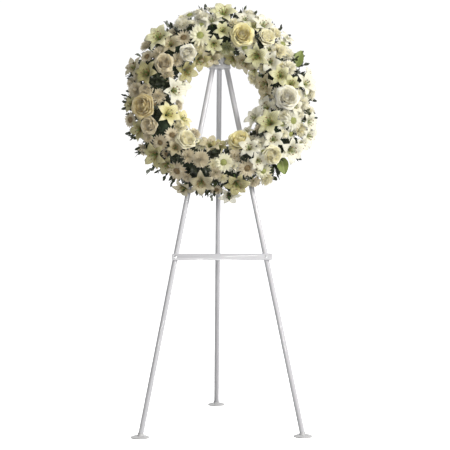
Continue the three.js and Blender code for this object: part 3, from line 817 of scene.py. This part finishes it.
def whorl_tree():
    """Sets copies of a part round the axis, turning by a step from each to the next."""
    tree, graph = new_tree("whorl", WHORL_INPUTS)
    given = graph.node("NodeGroupInput").outputs

    def chance(offset, low=-1.0):
        inputs = {2: low, 3: 1.0, "Seed": graph.add(given["Seed"], float(offset))}
        return graph.node("FunctionNodeRandomValue", inputs, data_type="FLOAT").outputs[1]

    place, turn, size = whorl_places(graph, given, chance)
    spots = graph.node("GeometryNodePoints", {"Count": given["Count"], "Position": place})
    copies = copies_on(graph, spots.outputs[0], given["Part"], turn, size)
    marked = graph.node("GeometryNodeStoreNamedAttribute", {
        "Geometry": copies, "Name": "tint", "Value": chance(9, 0.0)},
        data_type="FLOAT", domain="INSTANCE").outputs[0]
    finished = made_real(graph, marked, given["Finish"])
    both = graph.node("GeometryNodeJoinGeometry")
    graph.tree.links.new(finished, both.inputs[0])
    graph.tree.links.new(given["Geometry"], both.inputs[0])
    graph.node("NodeGroupOutput", {0: both.outputs[0]})
    return tree


def planting_tree():
    """Sets a sprig on each given point, by the point's own turn and size."""
    tree, graph = new_tree("planting", [("Sprig", "Object"), ("Finish", "Material")])
    given = graph.node("NodeGroupInput").outputs
    turn = graph.node("GeometryNodeInputNamedAttribute", {"Name": "turn"}, data_type="FLOAT_VECTOR")
    size = graph.node("GeometryNodeInputNamedAttribute", {"Name": "size"}, data_type="FLOAT")
    copies = copies_on(graph, given["Geometry"], given["Sprig"], turn.outputs[0], size.outputs[0])
    graph.node("NodeGroupOutput", {0: made_real(graph, copies, given["Finish"])})
    return tree


WHORL = whorl_tree()
PLANTING = planting_tree()
patterns = []  # parts that are only copied from


def pattern(name, mesh):
    soften(mesh)
    item = add_object(name, mesh)
    patterns.append(item)
    return item


def run_trees(name, mesh, steps):
    """Puts a mesh through tree after tree, each with its inputs by name, and returns the result."""
    host = add_object(name, mesh)
    for number, (tree, values) in enumerate(steps):
        modifier = host.modifiers.new("step %d" % number, "NODES")
        modifier.node_group = tree
        for socket in tree.interface.items_tree:
            if socket.in_out == "INPUT" and socket.name in values:
                modifier[socket.identifier] = values[socket.name]
    evaluated = host.evaluated_get(bpy.context.evaluated_depsgraph_get())
    result = bpy.data.meshes.new_from_object(evaluated)
    result.name = name
    bpy.data.objects.remove(host)
    return result


def whorl(part, finish, count, radius, height, tilt, size, seed, step=GOLDEN, crowding=0.5,
          wobble=0.1, bend=0.0):
    """One step for run_trees. Radius, height, tilt in degrees and size are (inner, outer)."""
    values = {"Part": part, "Finish": finish, "Count": count, "Seed": seed, "Step": step,
              "Crowding": crowding, "Wobble": wobble, "Bend": bend}
    tilt = [math.radians(angle) for angle in tilt]
    for label, pair in (("radius", radius), ("height", height), ("tilt", tilt), ("size", size)):
        values["Inner " + label], values["Outer " + label] = map(float, pair)
    return WHORL, values


def strap(name, length, half_width, cup, rise, rows=5, blunt=0.5):
    """A small petal or leaf along +X, a few dozen faces: it cups across and curls up at its tip."""
    u = np.array([-1.0, 0.0, 1.0])[None, :]
    v = np.linspace(0, 1, rows)[:, None]
    width = half_width * np.sin(math.pi * (0.10 + 0.88 * v) ** (1 + blunt)) ** 0.7
    x = length * v * (1 - 0.05 * u * u)
    z = rise * v * v + cup * u * u * np.sin(math.pi * np.minimum(v + 0.15, 1))
    sheets = Sheets()
    sheets.shell(np.stack([x, u * width, z], axis=-1), STEM_GREEN, 0.5, SMALL_THICKNESS)
    return pattern(name, sheets.mesh(name))


def floret_bud(name):
    """One closed floret of a daisy's eye, along +X."""
    sheets = Sheets()
    sheets.rod([(0, 0, 0), (1.3, 0, 0), (2.9, 0, 0)], [0.5, 0.9, 0.35], GREEN_EYE, sides=5)
    return pattern(name, sheets.mesh(name))


MUM_PETAL = strap("mum_petal_pattern", 19.0, 3.3, 1.5, 4.5, blunt=0.35)
RAY = strap("daisy_ray_pattern", 22.5, 3.6, 0.7, 1.2, blunt=0.2)
BRACT = strap("bract_pattern", 9.0, 1.7, 0.5, 2.5, rows=4)
FLORET = floret_bud("floret_pattern")

MUM_PETALS = 124
SMALL_MUM_PETALS = 72  # each a little wider
FLORETS = 110
SMALL_FLORETS = 54  # each a little bigger


def mum(name, stem, finish, openness, fine, rng):
    """A cushion of petals that stand up at the heart and lie out flat at the rim."""
    sheets = Sheets()
    add_stem(sheets, stem, 8.5, 7.5)
    seed = rng.randrange(9999)
    petals, wide = (MUM_PETALS, 1.0) if fine else (SMALL_MUM_PETALS, 1.12)
    return run_trees(name, sheets.mesh(name), [
        whorl(BRACT, STEM_GREEN, 12, (5, 6), (2, 4), (2, 18), (1, 1.1), seed, wobble=0.15),
        whorl(MUM_PETAL, finish, petals, (0.5, 8.0), (16.0, 7.0), (90, 1),
              (0.60 * wide, 1.0 * openness * wide), seed + 50, wobble=0.13),
    ])


def ray_row(finish, count, radius, height, tilt, size, seed, wobble):
    """Rays side by side, set on alternate places of two turns round."""
    return whorl(RAY, finish, count, (radius, radius), height, tilt, size, seed,
                 FULL_TURN / count * 2, wobble=wobble)


def daisy(name, stem, finish, openness, fine, rng, eye=GREEN_EYE):
    """Two rows of rays and a few short ones round a domed eye of florets."""
    sheets = Sheets()
    add_stem(sheets, stem, 7.5, 7.5)
    dome = [(0, 0, z) for z in (6.5, 10.0, 13.5, 15.6, 16.4)]
    sheets.rod(dome, [8.0, 8.6, 7.4, 4.6, 1.2], eye, sides=12)
    seed = rng.randrange(9999)
    florets, floret_size = (FLORETS, (0.85, 1.05)) if fine else (SMALL_FLORETS, (1.1, 1.4))
    rows = [
        ray_row(finish, 17, 7, (8.0, 8.4), (2, 6), (openness, openness), seed + 50, 0.07),
        ray_row(finish, 15, 6.6, (9.2, 9.6), (12, 17), (0.92 * openness, 0.9 * openness),
                seed + 90, 0.08),
        whorl(FLORET, eye, florets, (0.2, 8.2), (16.0, 11.0), (90, 25), floret_size, seed + 170,
              wobble=0.12),
    ]
    if fine:
        rows.append(ray_row(finish, 13, 6.2, (10.5, 10.8), (26, 34), (0.70, 0.66), seed + 130,
                            0.12))
    return run_trees(name, sheets.mesh(name), rows)


# ---- the blooms

# Body, edge and heart colours, how far the heart's colour reaches, how much the body's varies,
# and how strong its veins are. The tan, beige and olive colours are painted shade: darker, duller
# copies of the cream and white ones, for blooms on the side away from the light
PETAL_COLOURS = {
    "rose_gold": ((0.93, 0.85, 0.42), (0.94, 0.88, 0.58), (0.86, 0.70, 0.18), 0.6, 0.08, 0.06),
    "rose_cream": ((0.94, 0.89, 0.60), (0.95, 0.91, 0.70), (0.90, 0.78, 0.36), 0.5, 0.06, 0.06),
    "rose_white": ((0.95, 0.92, 0.77), (0.96, 0.94, 0.83), (0.93, 0.86, 0.62), 0.4, 0.04, 0.05),
    "rose_tan": ((0.76, 0.64, 0.31), (0.82, 0.72, 0.44), (0.62, 0.40, 0.09), 0.7, 0.25, 0.10),
    "rose_beige": ((0.76, 0.67, 0.44), (0.82, 0.74, 0.53), (0.60, 0.43, 0.15), 0.5, 0.12, 0.10),
    "lily_white": ((0.92, 0.89, 0.72), (0.93, 0.91, 0.79), (0.50, 0.50, 0.14), 0.40, 0.06, 0.20),
    "lily_lime": ((0.84, 0.81, 0.47), (0.90, 0.87, 0.62), (0.36, 0.36, 0.05), 0.70, 0.08, 0.25),
    "lily_yellow": ((0.86, 0.79, 0.40), (0.90, 0.85, 0.56), (0.50, 0.44, 0.06), 0.70, 0.08, 0.20),
    "lily_olive": ((0.51, 0.46, 0.20), (0.61, 0.56, 0.33), (0.22, 0.20, 0.03), 0.85, 0.15, 0.30),
    "lily_tan": ((0.58, 0.51, 0.31), (0.66, 0.60, 0.43), (0.33, 0.27, 0.07), 0.60, 0.20, 0.25),
    "mum_white": ((0.92, 0.89, 0.72), (0.93, 0.91, 0.78), (0.74, 0.69, 0.36), 0.5, 0.08, 0.06),
    "mum_cream": ((0.90, 0.85, 0.59), (0.92, 0.88, 0.67), (0.68, 0.61, 0.25), 0.5, 0.08, 0.06),
    "mum_green": ((0.50, 0.52, 0.25), (0.72, 0.72, 0.46), (0.22, 0.26, 0.06), 0.6, 0.10, 0.10),
    "mum_beige": ((0.72, 0.64, 0.44), (0.80, 0.73, 0.55), (0.44, 0.36, 0.16), 0.6, 0.15, 0.08),
    "daisy_white": ((0.92, 0.90, 0.75), (0.93, 0.92, 0.81), (0.66, 0.66, 0.34), 0.35, 0.05, 0.12),
    "daisy_cream": ((0.90, 0.87, 0.63), (0.92, 0.90, 0.71), (0.62, 0.60, 0.26), 0.35, 0.05, 0.12),
    "daisy_beige": ((0.72, 0.63, 0.43), (0.77, 0.70, 0.53), (0.48, 0.40, 0.18), 0.40, 0.12, 0.15),
}
PETALS = {name: petal_finish(name, *colours) for name, colours in PETAL_COLOURS.items()}

# Colour and how far open, for each bloom of the CAD in the order of its number. Tan, beige and
# olive are painted shade, for the blooms away from the light
BLOOMS = {
    "rose": [("gold", 1.0), ("cream", 1.0), ("white", 1.02), ("cream", 0.95), ("gold", 1.0),
             ("cream", 1.0), ("beige", 0.96), ("tan", 1.05), ("beige", 0.98), ("white", 0.96)],
    "lily": [("lime", 1.0), ("white", 1.0), ("lime", 1.0), ("tan", 0.9), ("white", 1.0),
             ("lime", 1.0), ("white", 1.0), ("olive", 0.95), ("olive", 0.95), ("tan", 1.0),
             ("olive", 1.0), ("yellow", 1.05), ("white", 1.05), ("olive", 0.97), ("lime", 1.0)],
    "mum": [("cream", 1.0), ("white", 1.0), ("beige", 1.0), ("cream", 1.0), ("beige", 1.0),
            ("white", 1.0), ("white", 1.0)],
    "daisy": [("white", 1.0), ("cream", 1.0), ("beige", 1.0), ("cream", 1.0), ("cream", 1.0),
              ("beige", 1.0), ("beige", 1.0), ("cream", 1.05)],
}
MAKERS = {"rose": rose, "lily": lily, "mum": mum, "daisy": daisy}
BLOOM_SEED = 100
TUCKED_SEED = 300
FILLER_SEED = 3

# Blooms tucked in between: petals, clock angle, lean, size and how far from the foam's axis the
# calyx is. Their tan, beige and olive petals are painted shade, away from the light and in the hole
TUCKED = [
    # round the rim
    ("lily_white", 17, 64, 0.85, 48), ("mum_white", 56, 62, 0.95, 42),
    ("mum_white", 93, 60, 1.00, 46), ("daisy_white", 117, 50, 0.80, 42),
    ("lily_olive", 219, 68, 0.85, 48), ("lily_olive", 249, 68, 0.90, 50),
    ("mum_beige", 324, 62, 0.85, 44),
    # on its face
    ("lily_lime", 25, 45, 0.80, 44), ("lily_lime", 2, 5, 0.75, 42),
    ("rose_beige", 275, 28, 0.75, 42), ("lily_tan", 317, 22, 0.85, 42),
    ("daisy_beige", 224, 48, 0.65, 42), ("lily_white", 354, 40, 0.90, 43),
    # leaning into the hole
    ("mum_green", 7, -52, 1.00, 42), ("lily_tan", 33, -70, 0.95, 48),
    ("lily_tan", 84, -66, 0.85, 45), ("lily_white", 101, -66, 1.00, 44),
    ("mum_beige", 127, -64, 0.85, 42), ("lily_tan", 165, -82, 0.70, 50),
    ("lily_tan", 193, -62, 0.95, 43), ("lily_yellow", 243, -80, 0.90, 52),
    ("lily_white", 291, -80, 0.95, 52), ("lily_olive", 310, -70, 1.00, 50),
    ("lily_olive", 332, -72, 0.95, 48), ("lily_tan", 347, -76, 0.90, 50),
    ("lily_olive", 17, -78, 0.85, 50), ("mum_cream", 357, -76, 0.80, 48),
]

# Small blooms that fill the room that is left: pale on the side that faces the light, and on the
# far side tan, beige and olive ones whose colour is painted shade
PALE_FILLERS = ["lily_white", "daisy_white", "mum_white", "lily_lime", "lily_white", "mum_cream"]
SHADED_FILLERS = ["lily_olive", "lily_tan", "mum_beige", "daisy_beige", "lily_tan", "mum_beige"]
LIGHT_CLOCK = 75
FILLER_SIZES = [0.90, 0.80, 0.70, 0.60]
FILLER_TRIES = 600
FILLER_LEANS = (-82, 90)
PALE_CLOSENESS = 0.56  # of two blooms' spreads
SHADED_CLOSENESS = 0.68
RIM_LEAN = 40
# How much further out of the foam a small bloom's calyx is at that lean, at the rim and in the hole
STAND_OFF_LEAN = 80
RIM_STAND_OFF = 26
HOLE_STAND_OFF = 24
LEAF_GAPS = (62, 136)  # clock angles at the rim that the broad leaves have to themselves
LEAF_GAP = 11
SIDE_LIMIT = 305  # how far to either side a small bloom may reach, in millimetres

SIDEWAYS = 0.6  # a bloom that faces forward by less than this turns its head to the viewer
TURNED_HEAD = (0.34, 0.48)
STRAIGHT_HEAD = (0.0, 0.12)


def settle(name, mesh, place, slot, *nodes):
    """Makes the piece with its place in its mesh, sets it on the front frame's body, and hides the
    nodes that it stands for.
    """
    mesh.transform(WREATH @ place)
    soften(mesh)
    piece = add_object(name, mesh)
    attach(piece, FRONT)
    if nodes:
        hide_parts(*nodes)


def plant_bloom(name, petals, seat, openness, fine, seed, *nodes):
    rng = random.Random(seed)
    sideways = abs(seat.away.dot(FORWARD)) < SIDEWAYS
    turned = rng.uniform(*(TURNED_HEAD if sideways else STRAIGHT_HEAD))
    place, stem = seat.stand(turned, any_turn(rng))
    accent = [BROWN_EYE] if petals == "daisy_beige" else []
    kind = kind_of(petals)
    mesh = MAKERS[kind](name, stem, PETALS[petals], openness, fine, rng, *accent)
    settle(name, mesh, place, kind + "_petals", *nodes)


def filler_seat(rng, size):
    """Petals and a seat for a small bloom anywhere, and how close others may come to it."""
    clock = rng.uniform(0, 360)
    # Away from the light the petals are the tan, beige and olive ones, which are painted shade.
    pale = math.cos(math.radians(clock - LIGHT_CLOCK)) + rng.uniform(-0.5, 0.5) > 0
    petals = rng.choice(PALE_FILLERS if pale else SHADED_FILLERS)
    lean = rng.uniform(*FILLER_LEANS)
    if lean > RIM_LEAN and any(abs(clock - gap) < LEAF_GAP for gap in LEAF_GAPS):
        return None
    stand_off = RIM_STAND_OFF if lean > 0 else HOLE_STAND_OFF
    calyx = FOAM_RADIUS - 2 + stand_off * (lean / STAND_OFF_LEAN) ** 2 + rng.uniform(0, 4)
    seat = added_seat(petals, clock, lean, size, calyx)
    if abs(seat.middle.x) + seat.spread > SIDE_LIMIT:
        return None
    return petals, seat, PALE_CLOSENESS if pale else SHADED_CLOSENESS


def filler_seats(rng, seats):
    """Seats for small blooms wherever there is room for one, the largest first."""
    fillers = []
    for size in FILLER_SIZES:
        for _ in range(FILLER_TRIES):
            found = filler_seat(rng, size)
            if found is None:
                continue
            petals, seat, closeness = found
            if all((seat.middle - other.middle).length > closeness * (seat.spread + other.spread)
                   for other in seats):
                seats.append(seat)
                fillers.append((petals, seat))
    return fillers


def plant_blooms():
    """Plants them all and returns their seats."""
    seats = []
    for kind, blooms in BLOOMS.items():
        for number, (colour, openness) in enumerate(blooms, start=1):
            node = "%s_%02d" % (kind, number)
            seat = measured_seat(node)
            plant_bloom(node + "_petals", kind + "_" + colour, seat, openness, True,
                        BLOOM_SEED + len(seats), node)
            seats.append(seat)
    tucked = [(petals, added_seat(petals, *rest)) for petals, *rest in TUCKED]
    seats += [seat for _, seat in tucked]
    tucked += filler_seats(random.Random(FILLER_SEED), seats)
    for number, (petals, seat) in enumerate(tucked, start=1):
        name = "tucked_%s_%03d" % (kind_of(petals), number)
        plant_bloom(name, petals, seat, 1.0, False, TUCKED_SEED + number)
    return seats


SEATS = plant_blooms()


# ---- leaves

def sprig(name, leaf, finish, count, length, tilt, size, seed, bend=6.0):
    """A twig with leaves all the way up it."""
    share = np.linspace(0, 1, 5)
    path = np.stack([bend * share ** 2, 0 * share, length * share], axis=1)
    sheets = Sheets()
    sheets.rod(path, np.linspace(1.1, 0.5, 5), finish, sides=5)
    mesh = run_trees(name, sheets.mesh(name), [
        whorl(leaf, finish, count, (0.8, 0.4), (0.15 * length, length), tilt, size, seed,
              crowding=1.0, wobble=0.3, bend=bend)])
    return pattern(name, mesh)


OVAL_LEAF = strap("oval_leaf_pattern", 21.0, 5.8, 1.4, 2.6, rows=4, blunt=0.3)
LANCE_LEAF = strap("lance_leaf_pattern", 30.0, 5.2, 1.6, -3.0, blunt=0.1)
ROUND_LEAF = strap("round_leaf_pattern", 14.0, 5.2, 1.0, 1.4, rows=4)

CARPET_SPRIG = sprig(
    "carpet_sprig_pattern", OVAL_LEAF, DARK_LEAF_AND_SHADE, 5, 7, (14, 30), (0.9, 0.8), 10, 1.0)
LOW_SPRIG = sprig("low_sprig_pattern", OVAL_LEAF, DARK_LEAF_AND_SHADE, 8, 26, (12, 60), (1.0, 0.8), 11)
LANCE_SPRIG = sprig("lance_sprig_pattern", LANCE_LEAF, DARK_LEAF_AND_SHADE, 8, 34, (20, 62), (1.0, 0.7), 12)
RIM_SPRIG = sprig(
    "rim_sprig_pattern", OVAL_LEAF, DARK_LEAF_AND_SHADE, 11, 52, (28, 68), (0.9, 0.75), 13, 9.0)
GREY_SPRIG = sprig(
    "grey_sprig_pattern", ROUND_LEAF, GREY_LEAF, 10, 50, (30, 60), (1.0, 0.7), 14, 8.0)
RIM_SPRIG_REACH = 60  # from its foot to its tip at full size

SPRIG_ROOT = 3  # how deep a sprig's foot is in the foam, and a tuft's
TUFT_ROOT = 6
TUFT_FORWARD = (12, 30)
TUFT_STRAY = 0.12
LEAF_SEED = 7


def plant_sprigs(name, pattern_sprig, finish, spots):
    """Spots are (base point, facing, size, spin) in the wreath's space."""
    mesh = bpy.data.meshes.new(name)
    mesh.from_pydata([base for base, _, _, _ in spots], [], [])
    turns = []
    for _, facing, _, spin in spots:
        upright = facing.to_track_quat("Z", "Y").to_matrix() @ Matrix.Rotation(spin, 3, "Z")
        turns.extend(upright.to_euler())
    mesh.attributes.new("turn", "FLOAT_VECTOR", "POINT").data.foreach_set("vector", turns)
    sizes = [size for _, _, size, _ in spots]
    mesh.attributes.new("size", "FLOAT", "POINT").data.foreach_set("value", sizes)
    planted = run_trees(name, mesh, [(PLANTING, {"Sprig": pattern_sprig, "Finish": finish})])
    settle(name, planted, Matrix.Identity(4), "leaf_green")


def inside_bloom(point):
    """Whether a point is among a bloom's petals or over its face."""
    for seat in SEATS:
        rise = (point - seat.root).dot(seat.away)
        aside = (point - seat.root - seat.away * rise).length
        opened = min((rise - seat.calyx) / seat.height, 1)
        if opened > 0 and aside < seat.spread * (0.25 + 0.70 * opened):
            return True
    return False


def strayed(rng, direction, stray):
    return (direction + Vector([rng.gauss(0, stray) for _ in range(3)])).normalized()


def cover(rng, count, leans, size, stray, height):
    """Spots all round the ring between two leans, for sprigs of that height clear of the
    blooms."""
    spots = []
    for k in range(count):
        clock = (k + rng.random()) * 2 * math.pi / count
        away = outward(clock, math.radians(rng.uniform(*leans)))
        base = ring_point(clock) + away * (FOAM_RADIUS - SPRIG_ROOT)
        facing = strayed(rng, away, stray)
        own_size = rng.uniform(*size)
        spin = any_turn(rng)
        reached = [base + facing * height * own_size * share for share in (0.5, 1.0)]
        if not any(inside_bloom(point) for point in reached):
            spots.append((base, facing, own_size, spin))
    return spots


def rim_tufts(rng, tufts):
    """Sprigs whose tips reach out to the given distances from the wreath's middle."""
    spots = []
    for clock, reach in tufts:
        angle = math.radians(clock)
        out = Vector((math.sin(angle), 0, math.cos(angle)))
        rooted = out * (RING_RADIUS + FOAM_RADIUS - TUFT_ROOT)
        base = rooted + FORWARD * rng.uniform(*TUFT_FORWARD)
        size = (reach - base.dot(out)) / RIM_SPRIG_REACH
        facing = strayed(rng, out, TUFT_STRAY)
        spots.append((base, facing, size, any_turn(rng)))
    return spots


# Tufts that stand out of the outline: clock angle and reach
DARK_TUFTS = [
    (2, 291), (6, 292), (14, 302), (25, 272), (35, 288), (47, 290), (61, 292), (71, 270),
    (114, 280), (128, 290), (150, 294), (173, 304), (179, 284), (186, 296), (197, 294), (202, 302),
    (218, 296), (223, 298), (229, 292), (238, 306), (251, 300), (258, 290), (285, 280), (289, 296),
    (297, 284), (301, 280), (308, 300), (325, 276), (337, 292), (358, 292),
]
LIGHT_TUFTS = [(97, 288), (101, 292), (105, 286)]
GREY_TUFTS = [
    (29, 294), (79, 294), (119, 282), (186, 314), (223, 322), (270, 300), (299, 298), (325, 302),
]


def fringe(rng, count, reach):
    """Clock angles and reaches for sprigs all round the rim."""
    return [((k + rng.random()) * 360 / count, rng.uniform(*reach)) for k in range(count)]


def plant_leaves():
    rng = random.Random(LEAF_SEED)
    plant_sprigs("foliage_carpet", CARPET_SPRIG, DARK_LEAF_AND_SHADE,
                 cover(rng, 260, (-95, 95), (0.8, 1.1), 0.3, 8))
    plant_sprigs("foliage_face", LOW_SPRIG, DARK_LEAF_AND_SHADE,
                 cover(rng, 260, (-75, 75), (0.8, 1.1), 0.4, 34))
    plant_sprigs("foliage_lance", LANCE_SPRIG, DARK_LEAF_AND_SHADE,
                 cover(rng, 120, (-80, 80), (0.7, 1.0), 0.4, 46))
    plant_sprigs("foliage_edge", LOW_SPRIG, MID_LEAF,
                 cover(rng, 50, (72, 98), (0.9, 1.25), 0.3, 30)
                 + cover(rng, 60, (-98, -72), (0.7, 0.95), 0.3, 30))
    plant_sprigs("foliage_rim", RIM_SPRIG, DARK_LEAF_AND_SHADE,
                 rim_tufts(rng, DARK_TUFTS) + rim_tufts(rng, fringe(rng, 100, (272, 302))))
    plant_sprigs("foliage_rim_light", RIM_SPRIG, MID_LEAF, rim_tufts(rng, LIGHT_TUFTS))
    plant_sprigs("foliage_rim_grey", GREY_SPRIG, GREY_LEAF, rim_tufts(rng, GREY_TUFTS))


BLADE_LENGTH = 54
BLADE_HALF_WIDTH = 18
BLADE_DROOP = 5


def blade(petiole):
    """A broad leaf along +Z, folded a little at its midrib, on a petiole."""
    u = from_edges(9)
    v = np.linspace(0, 1, 13)[:, None]
    width = BLADE_HALF_WIDTH * np.sin(math.pi * (0.03 + 0.95 * v ** 0.85)) ** 0.75
    fold = 0.22 * np.abs(u) * width + 0.5 * np.sin(v * 15) * np.abs(u) ** 2
    y = fold - BLADE_DROOP * v * v
    grid = np.stack([u * width, y, BLADE_LENGTH * v + 0 * u], axis=-1)
    sheets = Sheets()
    sheets.shell(grid, BROAD_LEAF, 0.5, LEAF_THICKNESS)
    path = [(0, 0, -petiole), (0, 0, -petiole / 2), (0, 0.3, 2), (0, 0.5, 6)]
    sheets.rod(path, [1.6, 1.4, 1.2, 0.6], BROAD_LEAF, sides=8)
    return sheets


def plant_broad_leaf(node, clock, lean, foot, swing):
    """Foot is how far the blade starts from the foam's axis, and swing turns the blade about it,
    anticlockwise as seen from the front."""
    away = outward(math.radians(clock), math.radians(lean))
    base = ring_point(math.radians(clock)) + away * foot
    face = (FORWARD - away * away.dot(FORWARD)).normalized()
    upright = Matrix((face.cross(away), face, away)).transposed().to_4x4()
    place = Matrix.Translation(base) @ upright @ Matrix.Rotation(math.radians(swing), 4, "Y")
    mesh = blade(foot - STEM_TIP).mesh(node + "_blade")
    settle(node + "_blade", mesh, place, "leaf_green", node)


plant_leaves()
plant_broad_leaf("leaf_upper", 66, 74, 53, 44)
plant_broad_leaf("leaf_lower", 134, 74, 59, -36)


# ---- the easel, tray and foam

JOIN = 1e-5  # corners closer than this are one
FLAT = math.radians(1)  # faces that meet flatter than this are one


def merged_copy(node, finish, edge):
    """The frame's own shape with its corners joined up and its hard edges eased."""
    mesh = frame["nodes"][node].data.copy()
    shape = bmesh.new()
    shape.from_mesh(mesh)
    bmesh.ops.remove_doubles(shape, verts=shape.verts, dist=JOIN)
    bmesh.ops.dissolve_limit(shape, angle_limit=FLAT, verts=shape.verts, edges=shape.edges)
    if edge:
        hard = [e for e in shape.edges if len(e.link_faces) == 2 and e.calc_face_angle() > CREASE]
        bmesh.ops.bevel(shape, geom=hard, offset=edge, segments=2, profile=0.5,
                        affect="EDGES", clamp_overlap=True)
    shape.to_mesh(mesh)
    shape.free()
    mesh.materials.clear()
    mesh.materials.append(finish)
    soften(mesh)
    piece = add_object(node + "_finished", mesh)
    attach(piece, body_of(frame["nodes"][node])[0])
    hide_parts(node)


# Finish, slot, how much a hard edge is eased in metres, and the nodes
HARD_PIECES = [
    (SHADED_PAINT, "white_paint", 0.0005, ["front_leg_left", "front_leg_right", "rear_leg",
                                    "rear_leg_eye", "head_block", "hook_plate", "crossbar"]),
    (SHADED_FOOT_PLASTIC, "foot_plastic", 0.0008, ["foot_left", "foot_right", "foot_rear"]),
    (ZINC, "zinc_fasteners", 0.0002, ["hinge_bolt", "hinge_nut", "hook_screw_lower",
                                      "hook_screw_upper", "crossbar_screw_left",
                                      "crossbar_screw_right"]),
    (TRAY_PLASTIC, "tray_plastic", 0.0005, ["ring_tray"]),
    (FOAM, "floral_foam", 0, ["foam_ring"]),
]
for hard_finish, hard_slot, hard_edge, hard_nodes in HARD_PIECES:
    for hard_node in hard_nodes:
        merged_copy(hard_node, hard_finish, hard_edge)


for item in patterns:
    bpy.data.objects.remove(item)
